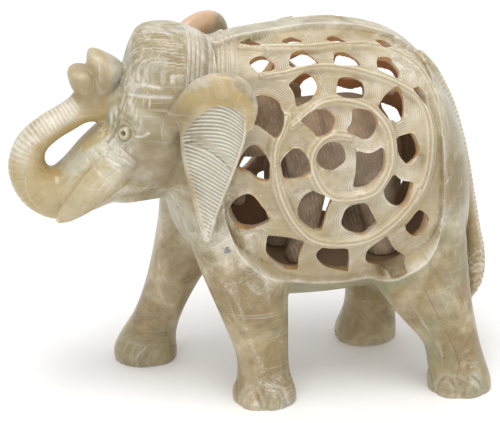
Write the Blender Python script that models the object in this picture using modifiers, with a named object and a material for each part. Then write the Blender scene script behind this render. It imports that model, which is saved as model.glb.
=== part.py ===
import math

import bmesh
import bpy
import numpy as np
from mathutils import Vector

# Sizes in metres. The carving faces -X and stands on z = 0.
HEIGHT = 0.101              # soles to the top of the forehead
WALL = 0.0032               # thickness of the pierced flank
FLOOR = 0.0105              # stone left under the hollow
EAR_THICK = 0.0030
CALF_HEIGHT = 0.0475        # the small elephant in the hollow
CALF_GAP = 0.0003           # clearance under the small elephant's feet
FLUTE_DEPTH = 0.0007        # grooves on the ear face
RING_DEPTH = 0.0004         # wrinkles round the trunk
RIM_DEPTH = 0.0009          # step of the carved panel below its border
BODY_FACES = 8200
CALF_FACES = 1500
SOLE_CUT = 0.0006           # stone taken off under the feet to make flat soles
CALF_SOLE_CUT = 0.0003
VOXEL = 0.0009              # grid the masses are blended on
CUT_VOXEL = 0.00075         # grid that joins on the ears and rounds the cut edges
CALF_VOXEL = 0.0006

UNIT = HEIGHT / 101.0       # the pose below is in 101sts of the height
SQUARENESS = 2.25           # exponent of the torso's cross-section
RING_SIDES = 40
STEPS = 5                   # rings between two stations

# Torso stations: along, middle height, half height, half width
TORSO = [(-23, 66, 8, 7), (-20, 65.5, 19, 12), (-15, 65.5, 27.5, 15.2), (-7, 63.5, 34, 19.4),
         (4, 62.5, 36.3, 23), (16, 62.5, 37, 24.5), (28, 62, 36, 25), (38, 60, 34, 24.2),
         (46, 57, 29.5, 22), (52, 53.5, 23, 18), (56, 50.5, 15, 12)]
HOLLOW = (-15.5, 50.5)      # ends of the hollow along the torso
HOLLOW_END = 4.0            # how squarely the hollow closes
FLOOR_EASE = 14.0           # rise of its floor towards the ends

# Head stations: height, front, back, half width
HEAD = [(101.3, -27.6, -22.5, 3.5), (99.5, -29.6, -15, 8.5), (95, -31.6, -9, 11.5), (89, -33.4, -7, 13.2),
        (82, -35.8, -7, 14), (76, -38.5, -8, 13.6), (70, -41.3, -10, 13), (65, -42.5, -12, 11.5),
        (60.5, -41, -14, 9), (57.5, -37, -18, 6)]

# Legs: height, middle along, middle across, half length, half width
FRONT_NEAR = [(0, 0.7, -13.9, 8.0, 7.6), (3, 0.5, -13.9, 8.3, 7.8), (8, 0.3, -13.8, 6.9, 6.6),
              (14, -0.2, -13.6, 6.9, 6.5), (22, -1.6, -13.4, 8.3, 7.2), (33, -3.8, -13.0, 10.4, 8.0),
              (43, -5.8, -12.2, 12.0, 8.6), (53, -7.5, -10.5, 12.5, 8.8), (62, -8.0, -9.0, 9.0, 8.0)]
FRONT_FAR = [(0, -24.2, 18.8, 8.4, 7.6), (3.5, -24.3, 18.8, 8.5, 7.8), (8, -23.4, 18.4, 7.4, 6.7),
             (14, -21.0, 17.4, 6.4, 6.3), (22, -18.0, 16.2, 6.8, 6.8), (31, -14.6, 14.8, 8.4, 7.8),
             (42, -11.0, 13.2, 10.6, 8.6), (53, -9.0, 10.5, 12.0, 8.8), (62, -8.0, 9.0, 9.0, 8.0)]
HIND_NEAR = [(0, 52.3, -19.3, 8.3, 7.8), (3.5, 52.0, -19.3, 8.3, 7.9), (9, 51.0, -18.8, 7.6, 7.0),
             (14, 49.7, -18.2, 7.6, 7.0), (20, 46.8, -17.2, 9.4, 8.0), (27, 43.6, -16.0, 11.6, 9.0),
             (36, 41.0, -14.6, 13.6, 9.8), (48, 40.0, -12.6, 13.6, 10.0), (58, 39.0, -10.0, 10.0, 8.0)]
HIND_FAR = [(0, 36.7, 17.2, 8.4, 7.7), (3.5, 36.7, 17.2, 8.4, 7.8), (9, 37.6, 16.8, 7.2, 6.9),
            (14, 38.2, 16.4, 7.3, 6.9), (22, 39.8, 15.6, 9.2, 7.9), (30, 41.0, 14.8, 11.2, 8.9),
            (42, 41.0, 13.4, 13.0, 9.8), (54, 40.0, 11.2, 12.0, 9.5), (60, 39.0, 9.0, 9.0, 8.0)]

# Tubes along the middle plane: along, across, height, radius
TRUNK = [(-33, 0, 68, 10.5), (-38.5, 0, 64.5, 9.6), (-44.5, 0, 60.6, 8.0), (-50.5, 0, 58.4, 7.0),
         (-55.8, 0, 61.2, 5.9), (-58.3, 0, 66.8, 4.9), (-56.8, 0, 72.6, 4.2), (-52.0, 0, 76.6, 3.9),
         (-46.8, 0, 79.4, 3.9), (-42.8, 0, 82.2, 4.0), (-40.6, 0, 86.2, 4.6)]
TAIL = [(44, 0, 87, 2.4), (48.5, -0.5, 81.5, 2.3), (52.6, -1.5, 73, 2.2), (55.6, -3, 62, 2.1),
        (57.6, -4.6, 50, 2.0), (59.0, -6, 40, 2.1), (59.6, -7, 32.5, 2.7), (59.0, -8, 26, 2.5),
        (58.0, -8.6, 21.5, 1.0)]
TIP_LOBES = [[(81, -43.5, -37.5, 3.4), (86, -43.0, -35.4, 4.2), (90, -42.5, -33.4, 4.9), (92.5, -42.2, -33.6, 5.0),
              (94.6, -42.0, -36.8, 4.7), (95.7, -41.6, -39.2, 3.6)],
             [(84, -44, -40, 3.2), (86.3, -46.2, -39.5, 4.3), (89.5, -47.1, -40, 4.9), (91.0, -46.8, -41, 4.8),
              (91.7, -46.0, -42, 3.8)]]
TUSK = [(-33.5, 8.2, 70.5, 4.6), (-39.5, 9.0, 65.2, 4.5), (-45.4, 9.6, 60.2, 3.7), (-50.2, 10.0, 56.6, 2.3),
        (-52.0, 10.2, 55.3, 1.1)]
JAW = [(-23, 0, 60.5, 5.5), (-29, 0, 59.6, 5.2), (-34.5, 0, 58.2, 4.2), (-38, 0, 57.4, 2.6)]

# Ear stations: height, front along, front across, rear along, rear across
EAR = [(92.6, -15.0, 18.5, -9.0, 22.0), (90.5, -18.8, 17.0, -6.8, 23.4), (85.5, -21.3, 16.2, -6.3, 24.6),
       (79, -22.2, 16.0, -7.2, 25.0), (71, -21.6, 16.5, -9.6, 24.6), (63, -19.8, 17.5, -12.4, 23.6),
       (56, -18.2, 19.0, -14.6, 22.6), (50.5, -16.6, 20.4, -15.4, 21.8)]
FOLD = [(-23.5, 13.5, 78.8, 3.0), (-20.6, 15.5, 83.7, 3.6), (-16.8, 17.8, 88.8, 4.1), (-12.7, 20.2, 90.6, 4.2),
        (-8.7, 22.6, 90.2, 3.6), (-6.3, 24.0, 86.4, 2.4), (-6.3, 24.2, 81.5, 1.3)]
FOLD_SHARE = (0, 0.25, 0.5, 0.8, 1)     # where the folded edge ends above the fluted face
FOLD_LOWER = (75, 82, 86, 85.5, 82)
FOLD_FLATTEN = 0.62             # thickness of the folded top edge over its width
EAR_FAR_SHIFT = (4.2, 0, 1.8)   # the other ear sits further back and higher
FLUTE_PITCH = 3.1
RING_PITCH = 2.8
RING_SPAN = (14, 5)            # rings start and stop this far from the trunk's ends

# Openings of one flank: along, turn round the torso (deg), length, width, tilt (deg), bend, taper
OPENINGS = [
    (-1.0, 77, 3.9, 5.5, 68, 0.4, 0.30), (9.2, 74, 3.3, 5.6, -88, 0.4, 0.08),
    (20.7, 72, 3.2, 6.0, 91, 0.4, 0.24), (33.8, 74, 5.8, 3.5, -151, 0.1, 0.16),
    (0.5, 59, 6.0, 4.4, 0, 0.1, 0.21), (10.7, 57, 7.8, 4.1, -12, -1.0, 0.57),
    (21.9, 57, 7.5, 4.2, -8, -0.6, 0.42), (33.0, 56, 6.5, 6.0, -169, 0.1, 0.18),
    (9.4, 42, 8.4, 6.4, -112, 0.1, 0.27), (21.6, 41, 7.7, 5.7, -177, 0.6, 0.06),
    (32.8, 35.5, 10.8, 7.2, 64, 0.5, 0.30), (41.5, 44, 6.1, 3.6, -54, 0.2, 0.56),
    (36.0, 16, 6.5, 7.5, 10, 0.7, 0.02), (33.3, -2, 8.4, 6.8, -103, 0.9, 0.26),
    (-0.7, 30, 8.8, 9.6, 174, 1.2, 0.26), (-4.2, 8, 7.6, 8.9, -169, 0.4, 0.43),
    (6.2, 8, 7.5, 8.0, 5, -1.1, 0.03), (12.7, 25, 7.0, 7.4, -70, -1.0, 0.10),
    (23.8, 24, 7.7, 7.4, 70, 0.8, 0.13), (15.4, 11, 7.4, 7.6, 81, 0.0, 0.09),
    (24.9, 6, 11.4, 7.4, -113, -0.1, 0.36), (39.2, -16, 8.5, 5.7, 74, 0.0, 0.12),
    (-5.2, -11, 8.2, 9.7, 133, -1.9, 0.04), (11.1, -9, 10.8, 7.5, -90, 0.7, 0.34),
    (23.1, -14, 9.2, 8.5, -58, 0.8, 0.07), (4.1, -28, 9.4, 11.5, 10, 1.6, 0.16),
    (17.9, -35, 7.7, 10.1, 41, 0.9, 0.43), (31.2, -35, 10.4, 8.7, -42, 1.4, 0.23)]
OPENING_SIDES = 18
FAR_SHIFT = (7.0, 3.0)      # the other flank repeats them nearer the tail and higher, these by other amounts
FAR_SHIFTS = {0: (7.0, 0.0), 1: (7.0, 0.0), 2: (7.0, 0.0), 3: (7.0, 0.0), 10: (10.0, -2.0), 12: (9.0, -5.0),
              13: (6.5, -3.0), 21: (6.0, -3.0)}
FAR_MISSING = (11,)
FAR_PANEL_SHIFT = 5.0
OPENING_GROW = 0.2
PLUG_PROUD = 2.0            # how far each plug stands out of the skin and goes in
PLUG_DEEP = 2.6 * WALL / UNIT
PLUG_SHRINK = 0.12          # narrowing towards the hollow
# Raised stems, ovals on the flank: along, turn, half length, half rise (deg), from, to (deg), end over start size
STEMS = [(20.5, 13, 21, 38, 150, 398, 1.08), (20.5, 14.5, 15.5, 22, 166, -215, 0.42)]
STEM_HEIGHT = 0.0009
STEM_WIDTH = 0.0013
PANEL_RIM = [(-11, 4), (-11.5, -10), (-9.8, -22), (-7.5, -30), (-3.1, -38), (2.3, -44.5), (8.7, -50),
             (15.4, -52.5), (22.5, -53), (29.8, -49.5), (35.4, -42), (40.7, -33), (43.9, -22), (45.5, -10)]

# The small elephant, in shares of its height: see the same kinds of table above
CALF_TORSO = [(-0.21, 0.68, 0.10, 0.09), (-0.15, 0.66, 0.20, 0.16), (-0.05, 0.62, 0.26, 0.205),
              (0.10, 0.60, 0.28, 0.225), (0.24, 0.60, 0.275, 0.225), (0.36, 0.58, 0.235, 0.20),
              (0.43, 0.55, 0.16, 0.14), (0.455, 0.53, 0.08, 0.07)]
CALF_HEAD = [(1.0, -0.36, -0.27, 0.06), (0.96, -0.42, -0.18, 0.12), (0.87, -0.455, -0.13, 0.15),
             (0.77, -0.485, -0.12, 0.155), (0.68, -0.49, -0.15, 0.135), (0.61, -0.46, -0.22, 0.10)]
CALF_TRUNK = [(-0.40, 0, 0.75, 0.11), (-0.455, 0, 0.64, 0.085), (-0.485, 0, 0.54, 0.066),
              (-0.49, 0, 0.45, 0.055), (-0.465, 0, 0.37, 0.048), (-0.42, 0, 0.335, 0.04)]
CALF_LEGS = [(-0.10, -0.125), (-0.16, 0.125), (0.36, -0.125), (0.29, 0.125)]
CALF_LEG = [(0, 0.086), (0.04, 0.09), (0.10, 0.078), (0.20, 0.085), (0.34, 0.11), (0.48, 0.12), (0.58, 0.08)]
CALF_EAR = [(0.91, -0.20, 0.15, -0.06, 0.20), (0.85, -0.23, 0.15, -0.01, 0.24), (0.74, -0.23, 0.145, -0.02, 0.245),
            (0.62, -0.20, 0.14, -0.08, 0.215), (0.52, -0.18, 0.14, -0.14, 0.18)]
CALF_TAIL = [(0.43, 0, 0.70, 0.03), (0.47, 0, 0.56, 0.03), (0.475, 0, 0.42, 0.03), (0.46, 0, 0.30, 0.035)]
CALF_PLACE = (17.0, 0.0)   # where it stands along and across the hollow


def clear_scene():
    for item in list(bpy.data.objects):
        bpy.data.objects.remove(item, do_unlink=True)
    for name in ("stone_elephant", "cutters"):
        holder = bpy.data.collections.new(name)
        bpy.context.scene.collection.children.link(holder)


def through(rows, steps):
    """Stations with smooth ones added between them (a Catmull-Rom run)."""
    rows = np.array(rows, float)
    ends = np.vstack([2 * rows[0] - rows[1], rows, 2 * rows[-1] - rows[-2]])
    out = []
    for k in range(1, len(ends) - 2):
        a, b, c, d = ends[k - 1:k + 3]
        for t in np.arange(steps) / steps:
            out.append(0.5 * (2 * b + (c - a) * t + (2 * a - 5 * b + 4 * c - d) * t ** 2
                              + (3 * b - a - 3 * c + d) * t ** 3))
    out.append(ends[-2])
    return np.array(out)


def power(value, exponent):
    return math.copysign(abs(value) ** exponent, value)


def add_mesh(name, verts, faces, collection="stone_elephant"):
    mesh = bpy.data.meshes.new(name)
    mesh.from_pydata([tuple(v) for v in verts], [], faces)
    piece = bpy.data.objects.new(name, mesh)
    bpy.data.collections[collection].objects.link(piece)
    bm = bmesh.new()
    bm.from_mesh(mesh)
    bmesh.ops.recalc_face_normals(bm, faces=bm.faces)
    bm.to_mesh(mesh)
    bm.free()
    return piece


def loft(name, rings, collection="stone_elephant"):
    """Closed body through rings of equal count, each end closed to its middle."""
    count = len(rings[0])
    verts = [p for ring in rings for p in ring]
    faces = []
    for k in range(len(rings) - 1):
        for i in range(count):
            j = (i + 1) % count
            faces.append((k * count + i, k * count + j, (k + 1) * count + j, (k + 1) * count + i))
    for k, flip in ((0, True), (len(rings) - 1, False)):
        middle = len(verts)
        verts.append(np.mean(np.array(rings[k]), axis=0))
        for i in range(count):
            pair = (k * count + i, k * count + (i + 1) % count)
            faces.append((pair[1], pair[0], middle) if flip else (pair[0], pair[1], middle))
    return add_mesh(name, verts, faces, collection)


TORSO_RUN = through(TORSO, 12)


def torso_section(along):
    return [np.interp(along, TORSO_RUN[:, 0], TORSO_RUN[:, k]) for k in (1, 2, 3)]


def torso_point(along, turn, side=-1):
    """Point of the torso's skin, in units; turn is measured up from the flank's middle."""
    middle, half_height, half_width = torso_section(along)
    return np.array([along, side * half_width * power(math.cos(turn), 2 / SQUARENESS),
                     middle + half_height * power(math.sin(turn), 2 / SQUARENESS)])


def torso_normal(along, turn, side=-1):
    step = 0.02
    run = torso_point(along + 0.5, turn, side) - torso_point(along - 0.5, turn, side)
    rise = torso_point(along, turn + step, side) - torso_point(along, turn - step, side)
    normal = np.cross(run, rise) * -side
    return normal / np.linalg.norm(normal)


def torso_ring(along, middle, half_height, half_width):
    ring = []
    for i in range(RING_SIDES):
        turn = 2 * math.pi * i / RING_SIDES
        ring.append(UNIT * np.array([along, half_width * power(math.cos(turn), 2 / SQUARENESS),
                                     middle + half_height * power(math.sin(turn), 2 / SQUARENESS)]))
    return ring


def hollow_floor():
    middle, half_height, half_width = torso_section(CALF_PLACE[0])
    return middle - half_height + FLOOR / UNIT


def make_torso(name, stations):
    return loft(name, [torso_ring(*row) for row in through(stations, STEPS)])


def make_hollow(name):
    """The torso's own section less the wall, closed roundly at both ends, with a level floor."""
    wall, level = WALL / UNIT, hollow_floor()
    start, end = HOLLOW
    middle_along, reach = (start + end) / 2, (end - start) / 2
    rings = []
    for t in np.linspace(-0.985, 0.985, 34):
        along = middle_along + reach * math.sin(t * math.pi / 2)
        share = (1 - abs((along - middle_along) / reach) ** HOLLOW_END) ** (1 / HOLLOW_END)
        middle, half_height, half_width = torso_section(along)
        tall = max(0.5, (half_height - wall) * share)
        ring = torso_ring(along, middle, tall, max(0.5, (half_width - wall) * share))
        lowest = min(level + FLOOR_EASE * max(0, 0.93 - share), middle - tall / 2)
        for point in ring:
            point[2] = max(point[2], UNIT * lowest)
        rings.append(ring)
    return loft(name, rings, "cutters")


def make_leg(name, rows, unit=UNIT, shift=(0, 0, 0)):
    rings = []
    for height, along, across, half_length, half_width in through(rows, STEPS):
        ring = []
        for i in range(24):
            turn = 2 * math.pi * i / 24
            ring.append(unit * (np.array(shift) + np.array([
                along + half_length * power(math.cos(turn), 0.92),
                across + half_width * power(math.sin(turn), 0.92), height])))
        rings.append(ring)
    return loft(name, rings)


def make_head(name, rows, unit=UNIT, shift=(0, 0, 0)):
    rings = []
    for height, front, back, half_width in through(rows, STEPS):
        ring = []
        for i in range(32):
            turn = 2 * math.pi * i / 32
            ring.append(unit * (np.array(shift) + np.array([
                (front + back) / 2 + (back - front) / 2 * power(math.cos(turn), 0.95),
                half_width * power(math.sin(turn), 0.8), height])))
        rings.append(ring)
    return loft(name, rings)


def tube(name, rows, unit=UNIT, shift=(0, 0, 0), flatten=1.0, round_end=True):
    """Round body along a run of points; flatten is its width across over its thickness."""
    run = through(rows, STEPS)
    path, radii = run[:, :3] + np.array(shift), run[:, 3].copy()
    tangents = np.gradient(path, axis=0)
    tangents /= np.linalg.norm(tangents, axis=1)[:, None]
    if round_end:
        for reach, share in ((0.55, 0.85), (0.85, 0.5)):
            path = np.vstack([path, path[len(run) - 1] + tangents[-1] * radii[len(run) - 1] * reach])
            radii = np.append(radii, radii[len(run) - 1] * share)
            tangents = np.vstack([tangents, tangents[-1]])
    rings = []
    for point, ahead, radius in zip(path, tangents, radii):
        over = np.cross(np.array([0.0, 1.0, 0.0]), ahead)
        over /= np.linalg.norm(over)
        wide = np.cross(ahead, over)
        rings.append([unit * (point + radius * (math.cos(2 * math.pi * i / 20) * over
                                                + flatten * math.sin(2 * math.pi * i / 20) * wide))
                      for i in range(20)])
    return loft(name, rings)


def make_ear(name, rows, side, thick, unit=UNIT, shift=(0, 0, 0)):
    """Leaf-shaped plate that stands off the neck, turned out towards its rear edge."""
    rings = []
    for height, front, front_out, rear, rear_out in through(rows, STEPS):
        fore = np.array([front, side * front_out, height])
        aft = np.array([rear, side * rear_out, height])
        middle, half = (fore + aft) / 2, (aft - fore) / 2
        ahead = half / np.linalg.norm(half)
        off = np.array([ahead[1], -ahead[0], 0.0])
        ring = []
        for i in range(22):
            turn = 2 * math.pi * i / 22
            ring.append(unit * (np.array(shift) + middle + half * power(math.cos(turn), 0.8)
                                + off * thick / unit / 2 * power(math.sin(turn), 0.7)))
        rings.append(ring)
    return loft(name, rings)


def stem_points(row, count=60):
    """Along and turn of points on one stem."""
    along, turn, half_length, half_rise, start, end, share = row
    points = []
    for t in np.linspace(0, 1, count):
        angle = math.radians(start + (end - start) * t)
        size = 1 + (share - 1) * t
        points.append((along + half_length * size * math.cos(angle),
                       math.radians(turn + half_rise * size * math.sin(angle))))
    return points


def baked(piece):
    """The object with its modifiers made part of its mesh."""
    graph = bpy.context.evaluated_depsgraph_get()
    mesh = bpy.data.meshes.new_from_object(piece.evaluated_get(graph))
    piece.modifiers.clear()
    piece.data = mesh
    mesh.name = piece.name
    return piece


def fuse(name, pieces, voxel, smoothing):
    """Blend overlapping bodies into one skin."""
    verts, faces = [], []
    for piece in pieces:
        start = len(verts)
        verts += [v.co.copy() for v in piece.data.vertices]
        faces += [tuple(start + i for i in face.vertices) for face in piece.data.polygons]
        bpy.data.objects.remove(piece, do_unlink=True)
    mesh = bpy.data.meshes.new(name)
    mesh.from_pydata(verts, [], faces)
    body = bpy.data.objects.new(name, mesh)
    bpy.data.collections["stone_elephant"].objects.link(body)
    grid = body.modifiers.new("blend", "REMESH")
    grid.mode = "VOXEL"
    grid.voxel_size = voxel
    even = body.modifiers.new("even", "SMOOTH")
    even.factor = 0.5
    even.iterations = smoothing
    return baked(body)


def cut(body, cutter):
    step = body.modifiers.new("cut", "BOOLEAN")
    step.operation = "DIFFERENCE"
    step.solver = "MANIFOLD"
    step.object = cutter
    baked(body)
    cutter.display_type = "WIRE"
    cutter.hide_render = True
    return body


def opening_outline(row, sides, grow=0.0):
    """Along and turn of points round one opening."""
    along, turn, length, width, tilt, bend, taper = row
    turn, tilt = math.radians(turn), math.radians(tilt)
    here = np.linalg.norm(torso_point(along, turn + 0.02) - torso_point(along, turn - 0.02)) / 0.04
    points = []
    for i in range(sides):
        ring = 2 * math.pi * i / sides
        c, s = math.cos(ring), math.sin(ring)
        u = (length / 2 + grow) * power(c, 0.85)
        v = (width / 2 + grow) * power(s, 0.85) * (1 - taper * c) + bend * (c * c - 0.5)
        points.append((along + u * math.cos(tilt) - v * math.sin(tilt),
                       turn + (u * math.sin(tilt) + v * math.cos(tilt)) / here))
    return points


def make_opening_cutters(name):
    """One plug for each opening of both flanks, square to the skin."""
    verts, faces = [], []
    for side in (-1, 1):
        for place, row in enumerate(OPENINGS):
            if side > 0:
                if place in FAR_MISSING:
                    continue
                shift = FAR_SHIFTS.get(place, FAR_SHIFT)
                row = (row[0] + shift[0], row[1] + shift[1]) + row[2:]
            outline = opening_outline(row, OPENING_SIDES, OPENING_GROW)
            base = torso_normal(row[0], math.radians(row[1]), side)
            start = len(verts)
            for reach, shrink in ((PLUG_PROUD, 0.0), (-PLUG_DEEP, PLUG_SHRINK)):
                centre = torso_point(row[0], math.radians(row[1]), side)
                for along, turn in outline:
                    point = torso_point(along, turn, side)
                    normal = base + 0.5 * torso_normal(along, turn, side)
                    normal /= np.linalg.norm(normal)
                    verts.append(UNIT * (point + (centre - point) * shrink + normal * reach))
            count = OPENING_SIDES
            for i in range(count):
                j = (i + 1) % count
                faces.append((start + i, start + j, start + count + j, start + count + i))
            faces.append(tuple(start + i for i in range(count)))
            faces.append(tuple(start + count + i for i in reversed(range(count))))
    return add_mesh(name, verts, faces, "cutters")


def carve(body):
    """Shallow carving moved into the blended skin: panel step, ear flutes, trunk rings."""
    mesh = body.data
    count = len(mesh.vertices)
    co = np.empty(count * 3)
    normals = np.empty(count * 3)
    mesh.vertices.foreach_get("co", co)
    mesh.vertex_normals.foreach_get("vector", normals)
    points, normals = co.reshape(-1, 3) / UNIT, normals.reshape(-1, 3)
    move = np.zeros(count)

    along = points[:, 0] - np.where(points[:, 1] > 0, FAR_PANEL_SHIFT, 0)
    rim = np.array([torso_point(a, math.radians(t)) for a, t in PANEL_RIM])
    middle, half_height, half_width = torso_section(points[:, 0])
    skin = (np.abs(points[:, 1]) / half_width) ** SQUARENESS + (np.abs(points[:, 2] - middle)
                                                                / half_height) ** SQUARENESS
    out = points * 0
    out[:, 1] = np.sign(points[:, 1]) * (np.abs(points[:, 1]) / half_width) ** (SQUARENESS - 1) / half_width
    out[:, 2] = (np.sign(points[:, 2] - middle) * (np.abs(points[:, 2] - middle) / half_height) ** (SQUARENESS - 1)
                 / half_height)
    out /= np.maximum(np.linalg.norm(out, axis=1), 1e-9)[:, None]
    facing = np.clip((skin - 0.88) / 0.06, 0, 1) * np.clip(np.sum(out * normals, axis=1) * 1.6, 0, 1)
    inside = points[:, 2] > np.interp(along, rim[:, 0], rim[:, 2])
    inside &= (along > rim[0, 0]) & (along < rim[-1, 0]) & (np.abs(points[:, 1]) > 3.2)
    move[inside] -= (RIM_DEPTH / UNIT * facing)[inside]
    for row in STEMS:
        for side in (-1, 1):
            shift = FAR_SHIFT if side > 0 else (0, 0)
            line = np.array([torso_point(a + shift[0], t + math.radians(shift[1]), side)
                             for a, t in stem_points(row)])
            gap = np.full(count, 1e9)
            for point in line:
                gap = np.minimum(gap, np.sum((points - point) ** 2, axis=1))
            move += STEM_HEIGHT / UNIT * np.exp(-gap * UNIT ** 2 / STEM_WIDTH ** 2) * facing

    ear = np.array(EAR, float)[::-1]
    for side, shift in ((-1, (0, 0, 0)), (1, EAR_FAR_SHIFT)):
        local = points - np.array(shift)
        front, front_out, rear, rear_out = (np.interp(local[:, 2], ear[:, 0], ear[:, k]) for k in (1, 2, 3, 4))
        share = (local[:, 0] - front) / np.maximum(rear - front, 0.5)
        across = side * local[:, 1]
        sheet = front_out + share * (rear_out - front_out)
        face = (share > 0.08) & (share < 0.93) & (local[:, 2] > 51)
        face &= (np.abs(across - sheet) < 3.0) & (side * normals[:, 1] > 0.35)
        face &= local[:, 2] < np.interp(share, FOLD_SHARE, FOLD_LOWER)
        wave = 0.5 - 0.5 * np.cos(2 * math.pi * (local[:, 0] * 0.75 - local[:, 2] * 0.66) / FLUTE_PITCH)
        move[face] -= (FLUTE_DEPTH / UNIT * wave)[face]

    trunk = through(TRUNK, 12)
    gap = np.full(count, 1e9)
    near = np.where(points[:, 0] < -41.5)[0]
    place = np.zeros(count)
    length = np.concatenate([[0], np.cumsum(np.linalg.norm(np.diff(trunk[:, :3], axis=0), axis=1))])
    for k, row in enumerate(trunk):
        far = np.linalg.norm(points[near] - row[:3], axis=1)
        better = far < gap[near]
        gap[near[better]] = far[better]
        place[near[better]] = length[k]
    outer = near[(place[near] > RING_SPAN[0]) & (place[near] < length[-1] - RING_SPAN[1])]
    move[outer] -= RING_DEPTH / UNIT * (0.5 - 0.5 * np.cos(2 * math.pi * place[outer] / RING_PITCH))

    points = UNIT * (points + normals * move[:, None])
    mesh.vertices.foreach_set("co", points.ravel())
    mesh.update()


def thin_out(body, target):
    step = body.modifiers.new("thin", "DECIMATE")
    faces = sum(len(p.vertices) - 2 for p in body.data.polygons)
    step.ratio = min(1.0, target / faces)
    step.use_collapse_triangulate = True
    return baked(body)


def flatten_soles(body, level):
    """Cut everything under the level away and close the feet with flat soles."""
    bm = bmesh.new()
    bm.from_mesh(body.data)
    geometry = list(bm.verts) + list(bm.edges) + list(bm.faces)
    result = bmesh.ops.bisect_plane(bm, geom=geometry, plane_co=(0, 0, level), plane_no=(0, 0, -1),
                                    clear_outer=True, dist=1e-6)
    edges = [item for item in result["geom_cut"] if isinstance(item, bmesh.types.BMEdge)]
    bmesh.ops.holes_fill(bm, edges=edges)
    bmesh.ops.triangulate(bm, faces=[f for f in bm.faces if len(f.verts) > 3])
    bmesh.ops.recalc_face_normals(bm, faces=bm.faces)
    bm.to_mesh(body.data)
    bm.free()


def stone(name, colour, roughness):
    material = bpy.data.materials.new(name)
    material.use_nodes = True
    shader = material.node_tree.nodes["Principled BSDF"]
    shader.inputs["Base Color"].default_value = (*colour, 1)
    shader.inputs["Roughness"].default_value = roughness
    shader.inputs["Metallic"].default_value = 0.0
    return material


def build_elephant():
    masses = [make_torso("torso", TORSO), make_head("head", HEAD),
              make_leg("leg_fn", FRONT_NEAR), make_leg("leg_ff", FRONT_FAR),
              make_leg("leg_hn", HIND_NEAR), make_leg("leg_hf", HIND_FAR),
              tube("trunk", TRUNK, round_end=False), tube("jaw", JAW, flatten=1.2)]
    blended = fuse("blended", masses, VOXEL, 8)
    cut(blended, make_hollow("hollow"))
    cut(blended, make_opening_cutters("openings"))
    fine = [blended, tube("tail", TAIL, flatten=1.15)]
    fine += [make_head("lobe", lobe) for lobe in TIP_LOBES]
    for side, shift in ((-1, (0, 0, 0)), (1, EAR_FAR_SHIFT)):
        fine.append(make_ear("ear", EAR, side, EAR_THICK, shift=shift))
        fine.append(tube("ear_fold", [(x, side * y, z, r) for x, y, z, r in FOLD], shift=shift,
                         flatten=FOLD_FLATTEN))
        fine.append(tube("tusk", [(x, side * y, z, r) for x, y, z, r in TUSK]))
    body = fuse("elephant", fine, CUT_VOXEL, 2)
    carve(body)
    thin_out(body, BODY_FACES)
    flatten_soles(body, SOLE_CUT)
    return body


def build_calf():
    unit = CALF_HEIGHT
    shift = (CALF_PLACE[0] * UNIT / unit, CALF_PLACE[1] * UNIT / unit, 0)
    torso = loft("calf_torso", [[p * unit / UNIT + np.array([CALF_PLACE[0] * UNIT, CALF_PLACE[1] * UNIT, 0])
                                 for p in torso_ring(*row)] for row in through(CALF_TORSO, STEPS)])
    pieces = [torso, make_head("calf_head", CALF_HEAD, unit, shift),
              tube("calf_trunk", CALF_TRUNK, unit, shift), tube("calf_tail", CALF_TAIL, unit, shift)]
    for x, y in CALF_LEGS:
        lean = 0.35 * (0.05 - x)
        pieces.append(make_leg("calf_leg", [(z, x + lean * z, y * (1 - 0.3 * z), r, r) for z, r in CALF_LEG],
                               unit, shift))
    for side in (-1, 1):
        pieces.append(make_ear("calf_ear", CALF_EAR, side, 0.045 * unit, unit, shift))
    calf = fuse("inner_elephant", pieces, CALF_VOXEL, 2)
    flatten_soles(calf, CALF_SOLE_CUT)
    thin_out(calf, CALF_FACES)
    lift = hollow_floor() * UNIT + CALF_GAP
    lowest = min(v.co.z for v in calf.data.vertices)
    for v in calf.data.vertices:
        v.co.z += lift - lowest
    return calf


def centre_on_ground(pieces):
    """Stand everything on z = 0 with the whole centred over the origin."""
    points = np.array([v.co[:] for piece in pieces for v in piece.data.vertices])
    low, high = points.min(axis=0), points.max(axis=0)
    shift = Vector((-(low[0] + high[0]) / 2, -(low[1] + high[1]) / 2, -low[2]))
    for piece in pieces:
        for v in piece.data.vertices:
            v.co += shift
    return shift


clear_scene()
elephant = build_elephant()
calf = build_calf()
moved = centre_on_ground([elephant, calf])
print("moved to the middle by", [round(value, 5) for value in moved])
elephant.data.materials.append(stone("pale_soapstone", (0.62, 0.57, 0.42), 0.35))
calf.data.materials.append(stone("raw_soapstone", (0.36, 0.31, 0.26), 0.75))
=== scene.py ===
import bpy
import bmesh
import math
import numpy as np
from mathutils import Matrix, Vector


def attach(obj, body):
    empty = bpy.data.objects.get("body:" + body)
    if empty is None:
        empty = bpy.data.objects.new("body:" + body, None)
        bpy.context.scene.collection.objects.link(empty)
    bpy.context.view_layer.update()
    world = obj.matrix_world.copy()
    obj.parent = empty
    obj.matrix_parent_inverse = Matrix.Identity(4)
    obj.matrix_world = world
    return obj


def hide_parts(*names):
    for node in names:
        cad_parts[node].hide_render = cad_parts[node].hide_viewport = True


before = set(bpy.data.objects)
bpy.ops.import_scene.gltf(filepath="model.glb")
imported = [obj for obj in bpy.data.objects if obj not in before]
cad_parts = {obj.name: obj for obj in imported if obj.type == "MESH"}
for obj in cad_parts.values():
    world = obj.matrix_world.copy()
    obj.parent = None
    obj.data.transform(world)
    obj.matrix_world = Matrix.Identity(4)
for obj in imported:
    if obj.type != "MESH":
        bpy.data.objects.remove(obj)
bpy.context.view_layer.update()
print("frame loaded:", sorted(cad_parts))

mm = 0.001
shiftToFrame = np.array([0.4, 0.35, -0.6])   # mm, puts the pose tables below where the CAD stands


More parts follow.
